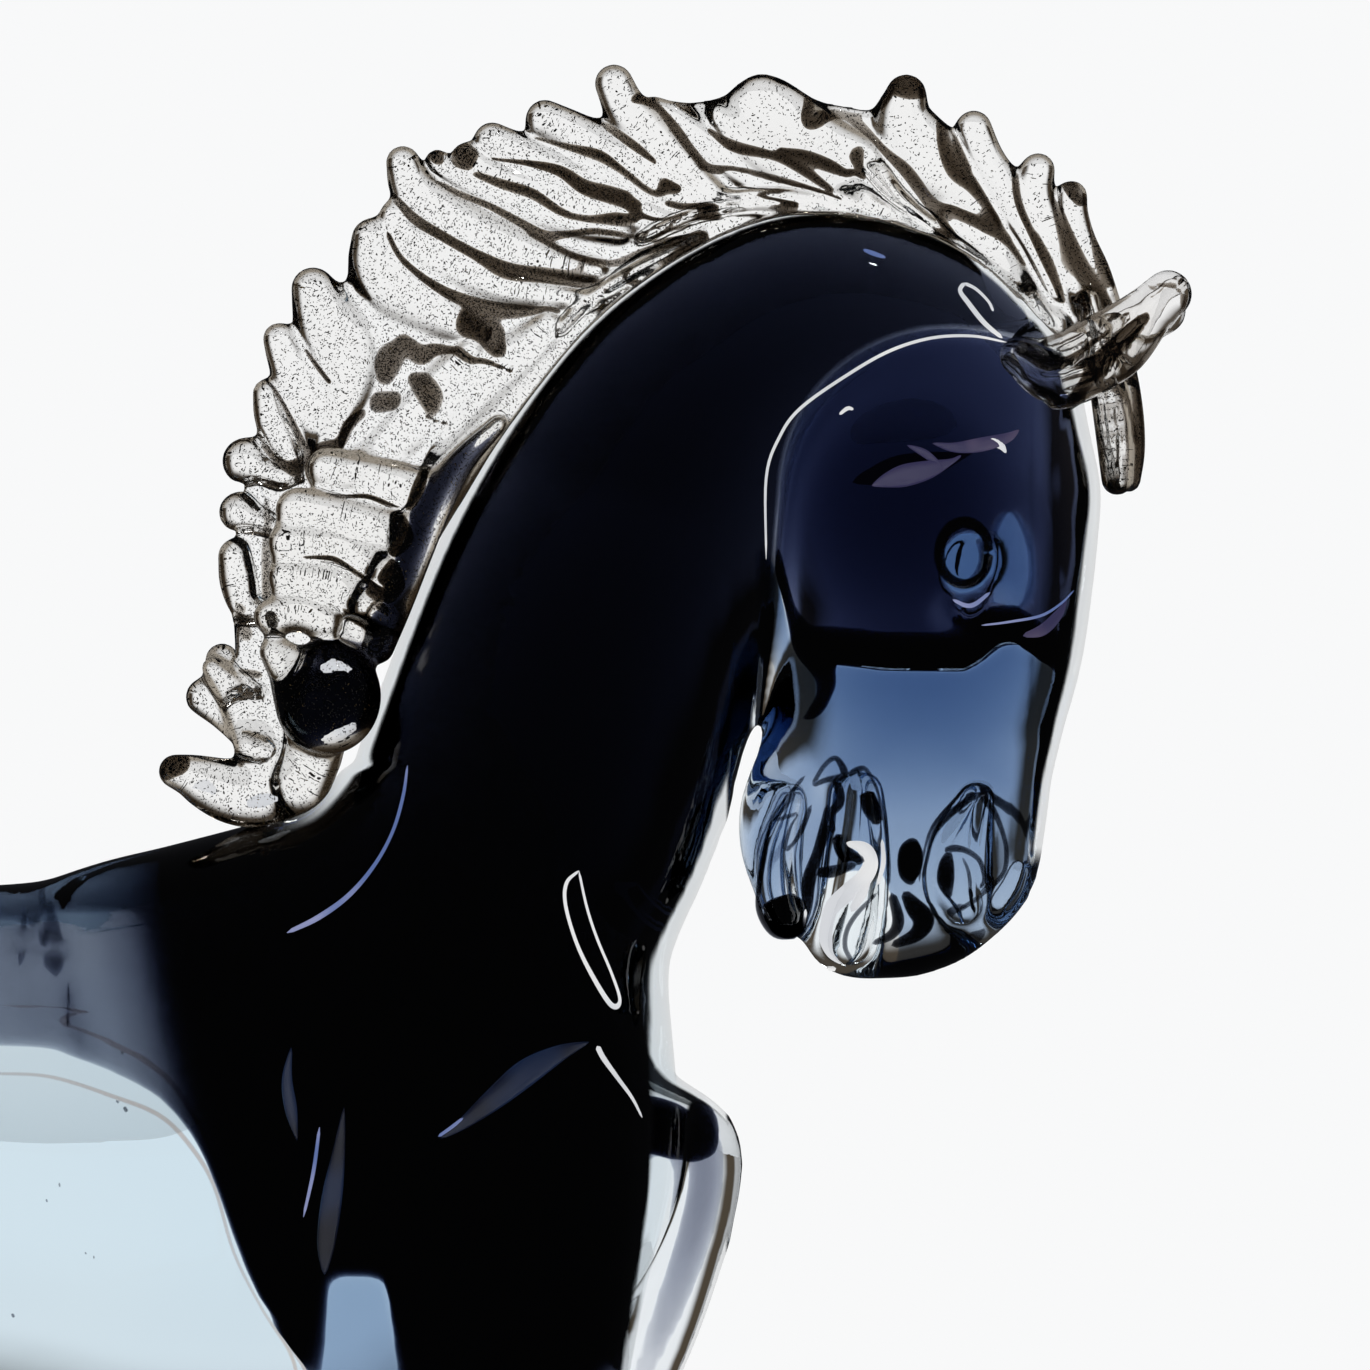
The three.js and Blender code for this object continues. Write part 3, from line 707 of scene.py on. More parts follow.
THREAD_SIDES = 10
THREAD_CAPS = ((0, 1, 8, 9), (1, 2, 7, 8), (2, 3, 6, 7), (3, 4, 5, 6))
skins = {side: skin_map(side) for side in (NEAR_SIDE, FAR_SIDE)}


def trailed(name, finish, near_threads, far_threads, sunk=0.5, flat=0.5, fuller=1.0, thinnest=0.12):
    """Threads under the skin of each side, from side-view places and half widths in fifths of a grid step."""
    around = np.linspace(0, 2 * math.pi, THREAD_SIDES, endpoint=False)
    points, faces = [], []
    for side, threads in ((NEAR_SIDE, near_threads), (FAR_SIDE, far_threads)):
        for thread in threads:
            run = resampled(drawn(0, 0, *thread), 6)
            x, z, half = run[:, 0], run[:, 2], np.maximum(run[:, 3] * fuller, thinnest)
            half[[0, -1]] = 0.4 * thinnest
            deep = np.maximum(half * flat, thinnest)
            middle = on_map(skins[side], x, z)
            middle[1:-1] = (middle[:-2] + middle[1:-1] + middle[2:]) / 3
            middle = middle - side * (sunk + deep)
            along = np.stack([np.gradient(x), np.gradient(z)], 1)
            along /= np.linalg.norm(along, axis=1)[:, None] + 1e-9
            out, up = np.cos(around)[None, :] * half[:, None], np.sin(around)[None, :] * deep[:, None]
            ring_x, ring_z = x[:, None] - along[:, 1:] * out, z[:, None] + along[:, :1] * out
            ring = np.stack([ring_x, middle[:, None] + up, ring_z], 2)
            first = sum(len(p) for p in points)
            points.append(ring.reshape(-1, 3))
            for step in range(len(run) - 1):
                here = first + step * THREAD_SIDES
                ahead = here + THREAD_SIDES
                for k in range(THREAD_SIDES):
                    after = (k + 1) % THREAD_SIDES
                    faces.append((here + k, ahead + k, ahead + after, here + after))
            end = first + (len(run) - 1) * THREAD_SIDES
            faces += [tuple(first + k for k in cap) for cap in THREAD_CAPS]
            faces += [tuple(end + k for k in cap[::-1]) for cap in THREAD_CAPS]
    return shown_mesh(name, placed(np.vstack(points)), faces, finish)


# The face is drawn with a hot pick. Fine dark threads lie in the cuts of the lips, the nostrils and the eyes,
# and paint the shade of those cuts, and white glowing threads paint highlights on the face. Longer glowing
# seams paint bright lines where the head and legs were pressed on.
EYE_MIDDLE, EYE_REACH = (961, 554), (24, 30)
eye_ring = [
    (EYE_MIDDLE[0] + EYE_REACH[0] * math.cos(turn), EYE_MIDDLE[1] + EYE_REACH[1] * math.sin(turn), 4.6)
    for turn in np.linspace(0, 2 * math.pi, 13)
]
MOUTH_CUTS = [
    ((805, 775, 1.5), (785, 799, 1.9), (772, 821, 2.4), (765, 853, 3), (760, 887, 3.4), (762, 913, 4),
     (776, 933, 4), (798, 936, 2.4)),
    ((827, 804, 1.9), (824, 831, 4.8), (817, 853, 4.4), (808, 882, 5.8), (807, 906, 4), (802, 930, 1.9)),
    ((763, 914, 3), (773, 914, 13), (789, 915, 17), (802, 915, 12), (808, 915, 3)),
    ((795, 790, 1.5), (781, 811, 1.9), (773, 821, 1.5)),
    ((773, 821, 1.5), (795, 813, 1.7), (789, 826, 1.7), (784, 848, 1.9), (798, 833, 2.9), (811, 804, 1.9)),
    ((812, 785, 1.9), (824, 765, 1.9), (836, 758, 2.4), (844, 775, 3.4), (827, 779, 2.4), (812, 785, 1.9)),
    ((848, 775, 2.4), (856, 770, 2.9), (865, 769, 1.9), (875, 790, 1.7), (880, 809, 1.7), (884, 828, 1.9),
     (887, 862, 1.9), (887, 884, 1.5)),
    ((865, 790, 5), (870, 807, 7), (876, 824, 4.8)),
    ((834, 775, 2.9), (841, 799, 4.4), (831, 814, 3.4), (833, 833, 2.9)),
    ((836, 833, 5), (846, 853, 7), (863, 860, 2.9)),
    ((815, 872, 3.4), (836, 870, 5), (856, 862, 2.4)),
    ((875, 891, 1.5), (856, 911, 1.9), (846, 928, 1.9), (844, 945, 1.9), (851, 959, 1.9)),
    ((890, 891, 3.4), (897, 918, 4.8), (890, 933, 4), (870, 942, 2.4)),
    ((902, 890, 3), (912, 904, 7), (922, 918, 8.4), (914, 933, 6), (890, 944, 3)),
]
NOSTRIL_CUTS = [
    ((913, 840, 2), (912, 848, 7), (910, 860, 9), (910, 872, 7), (911, 880, 2)),
    ((974, 792, 3.4), (962, 804, 4), (943, 819, 3.4), (931, 836, 2.2), (926, 857, 1.7), (921, 877, 1.5)),
    ((974, 792, 3.4), (989, 807, 2.9), (999, 828, 2.2), (1004, 850, 2.2), (1001, 872, 2.2), (982, 891, 2.2),
     (953, 911, 1.7)),
]
NOSTRIL_FOLDS = [
    ((943, 850, 2.4), (953, 847, 2.9), (965, 850, 2.4), (977, 860, 2.4), (982, 877, 2.4), (977, 887, 1.9)),
    ((948, 850, 2), (945, 862, 5.6), (944, 880, 6.4), (948, 897, 2)),
    ((960, 856, 0.9), (965, 868, 1.6), (967, 880, 1.8), (967, 893, 1.2)),
    ((977, 894, 2.4), (987, 884, 3.4), (989, 874, 2.4)),
]
PRESSED_SEAM_HIGHLIGHTS = [
    ((765, 560, 1), (765, 480, 1.4), (778, 440, 1.5), (800, 410, 1.6), (850, 375, 1.6), (890, 353, 1.6),
     (930, 341, 1.5), (970, 339, 1.4), (1004, 345, 1)),
    ((580, 868, 1.2), (568, 880, 1.8), (567, 902, 1.8), (578, 940, 2), (595, 975, 2.6), (612, 1001, 3),
     (620, 996, 2.2), (612, 970, 1.8), (598, 936, 1.6), (588, 905, 1.4), (580, 868, 1.2)),
    ((598, 1040, 3), (604, 1052, 3), (618, 1072, 2.4), (632, 1092, 2), (642, 1112, 1.4)),
    ((962, 286, 2), (958, 294, 2.2), (966, 306, 2.6), (982, 326, 2.6), (1000, 341, 2)),
    ((962, 286, 2), (974, 292, 1.8), (986, 304, 1.6), (991, 314, 1.4)),
]
FACE_HIGHLIGHTS = [
    ((846, 842, 2), (862, 847, 6.4), (869, 862, 7.6), (861, 878, 8), (846, 892, 9), (834, 906, 10),
     (829, 922, 9.4), (827, 938, 8.4), (831, 952, 5), (842, 962, 2)),
    ((868, 874, 2), (860, 892, 5), (850, 910, 3)),
    ((880, 838, 2), (881, 862, 3), (875, 884, 2)),
    ((827, 967, 3.4), (836, 967, 3.9)),
    ((805, 908, 1.9), (802, 928, 2.4)),
    ((838, 417, 1.4), (846, 411, 2), (852, 412, 1.2)),
    ((988, 441, 1.2), (994, 445, 4.4), (999, 449, 3.4), (1003, 455, 1)),
]
WITHERS_GLINT = [
    ((411, 765, 1.2), (407, 795, 1.8), (397, 830, 1.8), (380, 862, 2), (355, 892, 2.6), (325, 914, 3),
     (294, 929, 2)),
]
GLINTS = [
    ((328, 1117, 1.4), (322, 1160, 1.8), (312, 1205, 1.2)),
    ((862, 253, 1.6), (872, 257, 2.6), (884, 261, 1.6)),
    ((950, 600, 1.6), (968, 606, 2.4), (987, 593, 1.6)),
    ((979, 626, 0.8), (1008, 622, 1.2), (1038, 616, 1.4), (1058, 604, 1.2), (1071, 591, 0.8)),
    ((444, 1126, 1.4), (456, 1118, 2), (468, 1108, 1.2)),
]
LONG_CHEEK_BLOOM = ((870, 488, 1), (884, 483, 7), (902, 478, 11), (926, 472, 9), (948, 464, 3), (958, 458, 1))
CHEEK_BLOOMS = [
    ((930, 446, 1), (952, 450, 5), (978, 447, 7), (1004, 440, 5), (1016, 432, 1)),
    ((905, 448, 1), (922, 456, 4), (940, 470, 2)),
    ((1064, 600, 1), (1056, 614, 5), (1040, 630, 6), (1020, 636, 2)),
]
LONG_CHEST_BLOOM = (
    (446, 1128, 1.5), (470, 1112, 6), (500, 1088, 11), (530, 1064, 13), (562, 1046, 8), (590, 1036, 1))
CHEST_BLOOMS = [
    ((352, 1098, 1), (347, 1140, 6), (340, 1185, 10), (334, 1230, 9), (332, 1262, 2)),
    ((300, 1040, 1), (296, 1070, 5), (300, 1100, 6), (306, 1130, 1)),
]


def shining(name, base, strength, first, second, scale):
    """A dark material that glows faintly, to paint highlights and reflections, drifting between two tones."""
    made = material(name, Base_Color=(*base, 1), Roughness=0.3, Emission_Strength=strength)
    return mottled(made, "Emission Color", first, second, scale)


all_cuts = [eye_ring, *MOUTH_CUTS, *NOSTRIL_CUTS, *NOSTRIL_FOLDS]
# Dark threads laid in the cuts paint the shade of the cuts.
trailed("face_cut_shade", stained("painted_cut_shade", (0.02, 0.03, 0.07), 5000.0), all_cuts, NOSTRIL_CUTS, fuller=1.35)
# This glowing white paints highlights and the bright lines of refraction.
white_glow = shining("white_highlight_glow", (0.02, 0.02, 0.02), 0.82, (1.0, 1.0, 1.0), (0.78, 0.8, 0.84), 60.0)
trailed("white_highlight_seams", white_glow, [*PRESSED_SEAM_HIGHLIGHTS, *FACE_HIGHLIGHTS], PRESSED_SEAM_HIGHLIGHTS)
# Blue glowing threads paint thin blue highlights on the withers, the chest, the crest and the face.
glint = shining("seam_glints", (0.02, 0.02, 0.03), 0.5, (0.5, 0.55, 0.95), (0.2, 0.3, 0.7), 60.0)
trailed("blue_glint_lines", glint, [*WITHERS_GLINT, *GLINTS], WITHERS_GLINT)

# The faint reflections on the cheek and the chest are painted as thin glowing sheets just under the skin.
cheek_painted_reflection = shining("cheek_painted_reflection", (0.01, 0.01, 0.02), 0.3, (0.24, 0.19, 0.36), (0.1, 0.09, 0.24), 90.0)
trailed("cheek_painted_reflections", cheek_painted_reflection, [LONG_CHEEK_BLOOM, *CHEEK_BLOOMS], [LONG_CHEEK_BLOOM], flat=0.15)
chest_painted_reflection = shining("chest_painted_reflection", (0.01, 0.01, 0.02), 0.1, (0.06, 0.13, 0.36), (0.01, 0.015, 0.05), 60.0)
trailed("chest_painted_reflections", chest_painted_reflection, [LONG_CHEST_BLOOM, *CHEST_BLOOMS], [LONG_CHEST_BLOOM], flat=0.15)

# Where the cobalt ends on the flank, a hair of amber shows, and a few specks of ash float in the clear glass.
AMBER_LINE = [
    ((0, 1066, 1.6), (62, 1069, 2.0), (125, 1088, 2.4), (172, 1107, 2.6), (203, 1138, 2.6), (225, 1176, 2.2),
     (244, 1241, 1.8), (272, 1298, 1.6), (297, 1338, 2.2), (306, 1372, 2.0)),
]
trailed("amber_fringe", stained("amber_fringe", (0.7, 0.32, 0.1), 1500.0), AMBER_LINE, AMBER_LINE)
NEAR_SPECKS = [((136, 1098, 2), (139, 1103, 2)), ((25, 1301, 1.6), (27, 1305, 1.6))]
SPECKS = [
    ((60, 1188, 1), (61, 1191, 1)), ((128, 1092, 1.4), (131, 1094, 1.4)), ((98, 1240, 0.9), (99, 1242, 0.9)),
]
trailed("flank_specks", stained("flank_specks", (0.02, 0.03, 0.07), 5000.0), [*NEAR_SPECKS, *SPECKS], SPECKS)

# The mane: clear glass trailed along the crest, then plucked hot with tweezers into locks.
# Each lock starts far forward on the crest and sweeps back to a round tip. Metal leaf lies under its skin.
LOCKS = [
    drawn(-1.5, 4.2, (403, 163, 14), (412, 188, 18), (438, 210, 19), (476, 233, 19), (521, 252, 17),
            (560, 265, 12), (598, 272, 7)),
    drawn(1.0, 3.4, (437, 160, 9), (452, 172, 11), (490, 190, 13), (535, 210, 13), (580, 224, 10),
            (620, 232, 6)),
    drawn(-1.0, 3.6, (466, 155, 10), (490, 170, 10), (530, 188, 12), (575, 204, 11), (620, 219, 8),
            (655, 230, 5)),
    drawn(0.5, 4.0, (492, 140, 15), (530, 157, 15), (578, 180, 15), (620, 199, 13), (655, 215, 9),
            (690, 226, 5)),
    drawn(-0.5, 4.2, (545, 119, 16), (572, 132, 17), (606, 152, 17), (642, 173, 16), (680, 196, 12),
            (715, 212, 6)),
    drawn(-1.5, 4.4, (614, 84, 16), (626, 108, 17), (650, 134, 17), (672, 156, 15), (695, 176, 11),
            (720, 196, 6)),
    drawn(1.5, 3.4, (655, 108, 9), (680, 122, 11), (706, 145, 12), (735, 168, 11), (770, 190, 8),
            (800, 204, 5)),
    drawn(-1.5, 4.2, (392, 214, 9), (404, 236, 15), (438, 256, 18), (475, 274, 17), (512, 289, 13),
            (560, 297, 9), (602, 303, 5)),
    drawn(-0.5, 4.6, (372, 239, 17), (375, 262, 21), (394, 286, 24), (426, 304, 22), (455, 322, 15),
            (478, 334, 8)),
    drawn(-1.0, 4.8, (313, 289, 18), (324, 318, 25), (343, 350, 28), (347, 382, 22), (338, 410, 16),
            (329, 438, 8)),
    drawn(-2.0, 4.0, (279, 339, 13), (285, 356, 15), (297, 384, 17), (311, 410, 16), (322, 434, 12),
            (330, 452, 6)),
    drawn(0.5, 3.6, (266, 393, 11), (270, 415, 13), (280, 438, 13), (291, 458, 9), (302, 474, 5)),
    drawn(-2.0, 4.0, (548, 322, 8), (528, 345, 15), (505, 368, 20), (480, 402, 22), (456, 436, 19),
            (440, 468, 10)),
    drawn(-3.0, 4.0, (470, 352, 10), (448, 378, 15), (425, 408, 18), (400, 436, 18), (372, 458, 12),
            (350, 474, 6)),
    drawn(0.0, 4.4, (245, 461, 19), (262, 470, 9), (285, 480, 7)),
    drawn(0.5, 4.2, (238, 512, 16), (256, 520, 9), (278, 528, 7)),
    drawn(-0.5, 4.0, (234, 556, 13), (238, 582, 15), (246, 606, 12), (266, 614, 7)),
    drawn(0.5, 4.0, (222, 660, 14), (225, 677, 13), (250, 694, 7)),
    drawn(-1.0, 4.0, (205, 697, 16), (222, 716, 11), (246, 740, 9), (264, 758, 6)),
    drawn(-4.5, 3.8, (258, 704, 12), (259, 725, 14), (264, 750, 10)),
    drawn(-5.5, 5.6, (177, 771, 14), (194, 776, 18), (212, 784, 23), (236, 792, 27), (262, 794, 28),
            (286, 786, 26), (306, 774, 20), (322, 760, 13)),
    drawn(-5.0, 4.4, (214, 668, 9), (232, 690, 13), (246, 716, 15), (256, 744, 16), (262, 768, 16)),
    drawn(-1.0, 5.0, (762, 103, 24), (768, 124, 38), (796, 148, 36), (832, 174, 24), (860, 197, 12),
            (884, 217, 5)),
    drawn(1.5, 4.0, (722, 116, 10), (742, 134, 15), (775, 160, 15), (812, 184, 10), (850, 204, 5)),
    drawn(-2.0, 3.6, (812, 122, 9), (836, 142, 14), (864, 156, 13), (884, 180, 8), (902, 204, 5)),
    drawn(-1.0, 4.8, (906, 95, 17), (904, 122, 24), (926, 152, 27), (947, 178, 22), (968, 200, 14),
            (990, 222, 6)),
    drawn(-2.0, 3.8, (950, 218, 8), (968, 232, 15), (992, 252, 17), (1012, 276, 12), (1030, 302, 7),
            (1044, 328, 5)),
    drawn(1.0, 4.2, (974, 128, 15), (986, 158, 15), (1004, 189, 15), (1021, 222, 12), (1040, 258, 9),
            (1054, 292, 6)),
    drawn(-1.0, 4.0, (1038, 170, 14), (1036, 188, 14), (1042, 212, 12), (1054, 242, 10), (1066, 272, 8),
            (1078, 300, 6)),
    drawn(1.0, 4.2, (1072, 196, 13), (1073, 214, 13), (1080, 244, 14), (1094, 274, 14), (1108, 304, 11),
            (1120, 336, 8)),
]
# Long folds that sweep along the crest towards the ears, on both faces of the mane.
SWEEPS = [
    ((640, 240, 4), (700, 214, 5), (770, 206, 5), (840, 216, 5), (900, 240, 5), (960, 276, 5),
     (1010, 316, 4)),
    ((720, 196, 3), (790, 196, 4), (850, 210, 4), (910, 236, 5), (970, 270, 5), (1030, 322, 4)),
    ((840, 190, 4), (890, 214, 5), (940, 244, 5), (990, 276, 5), (1040, 326, 4)),
    ((868, 168, 4), (900, 200, 5), (940, 232, 5), (976, 258, 4), (1020, 296, 4)),
    ((560, 330, 5), (590, 300, 6), (640, 270, 6), (700, 240, 5)),
]
# The web that the locks are pulled from, and the strip that grips the crest.
WEB = [
    (58, -3, 316, 9, 3.4), (60, -4, 334, 13, 2.8), (64, -3, 352, 17, 2.4), (72, -2, 376, 19, 2.2),
    (86, -1, 396, 20, 2.1), (102, 0, 411, 20.5, 2.1), (121, 0, 422, 16.5, 2.1), (141, 0, 430, 13, 2.1),
    (161, 0, 431, 12, 2.1), (179, 0, 425, 14, 2.1), (195, 0, 416, 14.5, 2.1), (208, 0, 407, 12, 2.1),
]
CREST_STRIP = [
    (60, -3, 306, 6, 7), (66, -3, 322, 6, 7), (74, -3, 340, 5.4, 6.5), (86, -2, 361, 4.6, 5.6),
    (100, 0, 380, 4, 4.8), (116, 0, 396, 3.6, 4.2), (133, 0, 411, 3.4, 4), (152, 0, 420, 3.4, 4),
    (168, 0, 421.5, 3.4, 4), (184, 0, 417, 3.4, 4), (198, 0, 408, 3.4, 4), (210, 0, 398, 3.4, 4),
]
# Low on the neck the ribbon of glass folds over to the near side in a stack of round-ended bands.
BANDS = [
    drawn(-7.0, 5.0, (328, 470, 16), (375, 484, 20), (412, 489, 18)),
    drawn(-9.0, 5.2, (300, 511, 19), (350, 523, 20), (397, 534, 18)),
    drawn(-10.5, 5.2, (290, 544, 17), (335, 547, 15), (372, 562, 15), (390, 574, 13)),
    drawn(-11.0, 5.4, (290, 578, 17), (335, 586, 18), (368, 602, 16), (382, 614, 12)),
    drawn(-12.0, 5.4, (274, 617, 15), (302, 612, 17), (326, 622, 15)),
    drawn(-11.5, 5.0, (276, 652, 12), (288, 664, 17), (292, 682, 14)),
    drawn(-9.0, 4.5, (500, 425, 7), (462, 464, 11), (436, 508, 14), (415, 556, 15), (397, 602, 15),
            (380, 648, 13)),
]
ROLL = ((66, -12, 323.5), (10.6, 8.5, 11.4), 0.15)
FORELOCK = [
    drawn(-4, 4.6, (1088, 300, 8), (1098, 352, 12), (1108, 400, 15), (1114, 446, 15), (1116, 480, 13)),
    drawn(1, 4.2, (1104, 310, 8), (1120, 362, 12), (1128, 410, 13), (1131, 450, 12), (1129, 480, 10)),
]
CREASE = 2.6
FULLER = 1.2
FLATTER = 0.86
SWEEP_OUT, SWEEP_HALF = 3.6, 1.8
STEP = 0.65
mane = Gather(grid_line((26, 234, STEP)), grid_line((-24, 12, STEP)), grid_line((292, 452, STEP)))
mane.join(mane.form(WEB), 1)
mane.join(mane.form(CREST_STRIP), 3)
for lock in [*LOCKS, *BANDS, *FORELOCK]:
    pressed = [(x, y, z, deep * FULLER, wide * FLATTER) for x, y, z, deep, wide in lock]
    mane.join(mane.form(pressed, steps=4), CREASE)
for face in (-SWEEP_OUT, SWEEP_OUT):
    for sweep in SWEEPS:
        mane.join(mane.form(drawn(face, SWEEP_HALF, *sweep), steps=4), 0.8)
mane.join(mane.bead(*ROLL), CREASE)
SUNK = 0.7
mane_body = Gather(*mane.lines)
for stations, blend in ((TRUNK, 1), (NECK, 26), (HEAD, 9)):
    mane_body.join(mane_body.form(stations, grow=-SUNK), blend)
mane.field = np.maximum(mane.field, -mane_body.field)
mane.melt()
mane_points, mane_faces = mane.skin(1)
mane_parts = material("leafed_crystal", Roughness=0.0, IOR=1.5, Transmission_Weight=1.0)
mane_glass = mane_parts[0]
tint(mane_glass, (0.62, 0.55, 0.42), 14.0)
# Where the skin slants away the mane's colour turns dark olive: partly the leaf layer seen at a slant, partly
# painted shade for the dark outlines and grooves.
LEAF_AND_OUTLINE_SHADE = (0.17, 0.135, 0.095, 1)
_, mane_end, mane_shader = mane_parts
slant = mane_end.output("ShaderNodeLayerWeight", out=1, Blend=0.5).smooth(0.12, 0.42)
leaf_and_outline_shade = mane_end.output("ShaderNodeMix", {"data_type": "RGBA"}, out=2,
                       i0=slant, i6=(1, 1, 1, 1), i7=LEAF_AND_OUTLINE_SHADE)
mane_glass.node_tree.links.new(leaf_and_outline_shade.socket, mane_shader.inputs["Base Color"])
pulled_mane = shown_mesh("pulled_mane", placed(mane_points), mane_faces, mane_glass)
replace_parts(pulled_mane, "mane")

# Between the locks the leaf lies thicker, and olive glass is shut in under the grooves: together they paint
# the olive shade between the locks.
UPPER_GROOVE_SHADE = [
    ((388, 189, 4.6), (413, 218, 8), (443, 237, 6.9), (475, 255, 7.3), (507, 271, 11.5),
     (544, 276, 11.9), (590, 282, 10.3), (603, 286, 4.6)),
    ((429, 179, 3.2), (456, 195, 4.6), (489, 207, 4.6), (521, 225, 6), (544, 237, 6.9), (567, 234, 4.1),
     (601, 230, 2.8), (658, 239, 2.5), (686, 241, 1.8)),
    ((530, 237, 3.2), (555, 251, 3.7), (578, 262, 3.7), (613, 264, 4.1), (647, 253, 6), (677, 246, 7.3),
     (704, 241, 7.8)),
    ((477, 172, 2.8), (502, 182, 3.7), (534, 193, 3.7), (560, 209, 3.9), (580, 216, 2.8),
     (613, 218, 4.1), (638, 221, 1.8)),
    ((491, 161, 1.8), (525, 163, 3.2), (560, 172, 5.5), (585, 189, 8.3), (617, 198, 9.6),
     (635, 207, 6.9)),
    ((530, 136, 2.3), (548, 140, 2.8), (567, 145, 3.2), (599, 154, 4.6), (624, 170, 2.8),
     (649, 189, 2.8), (663, 193, 1.8)),
    ((587, 116, 1.8), (608, 127, 6), (635, 145, 6.4), (656, 161, 2.8)),
    ((633, 101, 5.1), (656, 111, 4.6), (675, 133, 7.3), (688, 152, 6.4), (704, 170, 6), (720, 172, 3.2)),
    ((461, 158, 9.6), (468, 159, 9.6)),
    ((433, 156, 6), (440, 161, 4.6)),
    ((626, 195, 3.2), (633, 212, 3.7), (658, 222, 2.3), (693, 224, 1.8)),
    ((668, 202, 3.2), (688, 207, 4.6), (714, 213, 6.9)),
    ((390, 234, 3.2), (401, 257, 4.1), (420, 276, 4.6), (440, 290, 6), (459, 299, 8.3), (489, 308, 10.6),
     (521, 310, 8.7), (555, 310, 5.1)),
    ((468, 319, 10.6), (484, 333, 16.1), (498, 349, 9.2)),
    ((665, 185, 6.9), (677, 189, 5.1)),
    ((624, 278, 2.3), (652, 280, 2.8)),
    ((404, 343, 6.5), (389, 360, 15.2), (385, 375, 10.8)),
    ((404, 343, 8.7), (422, 356, 10.8), (437, 351, 7.8), (469, 358, 3.9), (511, 371, 1.3)),
    ((415, 380, 7.4), (428, 390, 13), (430, 406, 7.8)),
    ((380, 403, 12.1), (393, 403, 12.1)),
    ((361, 414, 5.6), (348, 425, 7.4), (337, 445, 8.2), (313, 460, 10), (296, 469, 8.7)),
    ((424, 416, 1.3), (450, 425, 1.7)),
    ((306, 351, 3), (318, 367, 3.5), (332, 383, 2.6)),
    ((269, 377, 2.2), (283, 399, 3), (294, 421, 3.9), (307, 447, 5.6), (322, 453, 5.6)),
    ((263, 445, 3.9), (281, 464, 5.6), (296, 471, 6.5)),
    ((354, 273, 3), (361, 286, 3.9), (372, 299, 2.2)),
    ((298, 312, 3), (302, 321, 2.2)),
    ((469, 323, 13), (487, 334, 17.3), (500, 351, 8.7)),
    ((806, 101, 4.6), (810, 124, 6), (842, 115, 6.9), (861, 129, 6.4), (884, 152, 6.4), (907, 170, 7.8),
     (930, 202, 7.8), (948, 234, 7.8), (964, 257, 4.6)),
    ((856, 156, 7.8), (861, 175, 5.5), (849, 172, 2.8)),
    ((709, 131, 2.8), (734, 145, 6), (773, 154, 3.7), (803, 168, 4.6), (833, 189, 2.8)),
    ((780, 150, 2.8), (803, 156, 6), (829, 166, 6.4), (847, 177, 2.8)),
    ((700, 170, 4.1), (734, 168, 2.3), (769, 175, 2.8), (803, 186, 3.7), (842, 200, 1.8)),
    ((858, 115, 2.3), (881, 108, 5.5), (895, 90, 6.9), (907, 90, 10.1), (920, 90, 9.2)),
    ((936, 117, 3.2), (941, 145, 6), (953, 170, 8.3), (971, 189, 6.9), (989, 216, 4.6), (1005, 244, 4.6),
     (1021, 267, 2.8)),
    ((930, 198, 2.8), (953, 212, 6), (982, 225, 7.8), (1003, 241, 5.5)),
    ((975, 260, 6), (985, 267, 6.9)),
    ((950, 127, 3.2), (957, 152, 4.1), (966, 170, 3.2)),
    ((1015, 170, 5.1), (1019, 202, 4.6), (1033, 234, 4.1), (1049, 267, 4.1), (1060, 290, 3.2)),
    ((734, 184, 1.8), (769, 198, 2.8), (796, 207, 3.7)),
    ((998, 273, 3.2), (1021, 292, 4.6), (1037, 313, 2.8)),
    ((1052, 184, 5.1), (1055, 207, 7.7), (1062, 230, 9.2), (1075, 263, 11.7), (1093, 293, 11.2),
     (1103, 309, 7.7)),
    ((1037, 235, 3.1), (1052, 263, 4.1), (1062, 299, 4.6)),
    ((1068, 186, 6.1), (1078, 204, 3.6)),
    ((1091, 230, 5.1), (1098, 258, 6.1), (1108, 283, 5.6)),
    ((1093, 403, 3.1), (1106, 439, 4.1), (1110, 482, 4.6)),
    ((1129, 375, 3.1), (1133, 426, 4.1), (1131, 477, 5.6)),
    ((1113, 487, 6.6), (1126, 487, 6.6)),
    ((1103, 375, 4.1), (1119, 408, 2.6), (1126, 441, 2.6)),
]
ROLL_GROOVE_SHADE = [
    ((260, 483, 8.2), (268, 510, 9.3), (268, 543, 9.3), (268, 574, 8.2), (268, 598, 6)),
    ((238, 612, 9.3), (246, 634, 11)),
    ((235, 453, 8.2), (246, 461, 8.2)),
    ((230, 505, 8.2), (232, 524, 6.6)),
    ((424, 475, 4.9), (420, 491, 8.2), (412, 510, 6)),
    ((397, 530, 7.1), (405, 538, 9.9), (394, 554, 8.2)),
    ((389, 574, 7.7), (394, 585, 8.2), (383, 601, 7.1), (369, 595, 5.5)),
    ((347, 609, 6.6), (369, 617, 9.9), (383, 628, 5.5)),
    ((315, 489, 2.7), (342, 500, 3.3), (369, 497, 3.3), (397, 510, 4.9)),
    ((306, 557, 2.2), (336, 557, 4.9), (358, 574, 5.5), (380, 590, 4.9)),
    ((224, 552, 3.3), (221, 574, 2.7), (230, 595, 2.7), (246, 609, 3.3)),
    ((169, 765, 12.1), (183, 765, 9.3)),
    ((199, 697, 8.2), (197, 708, 3.8)),
    ((213, 724, 5.5), (227, 744, 6.6), (243, 765, 4.4)),
    ((240, 672, 6), (260, 675, 5.5)),
]
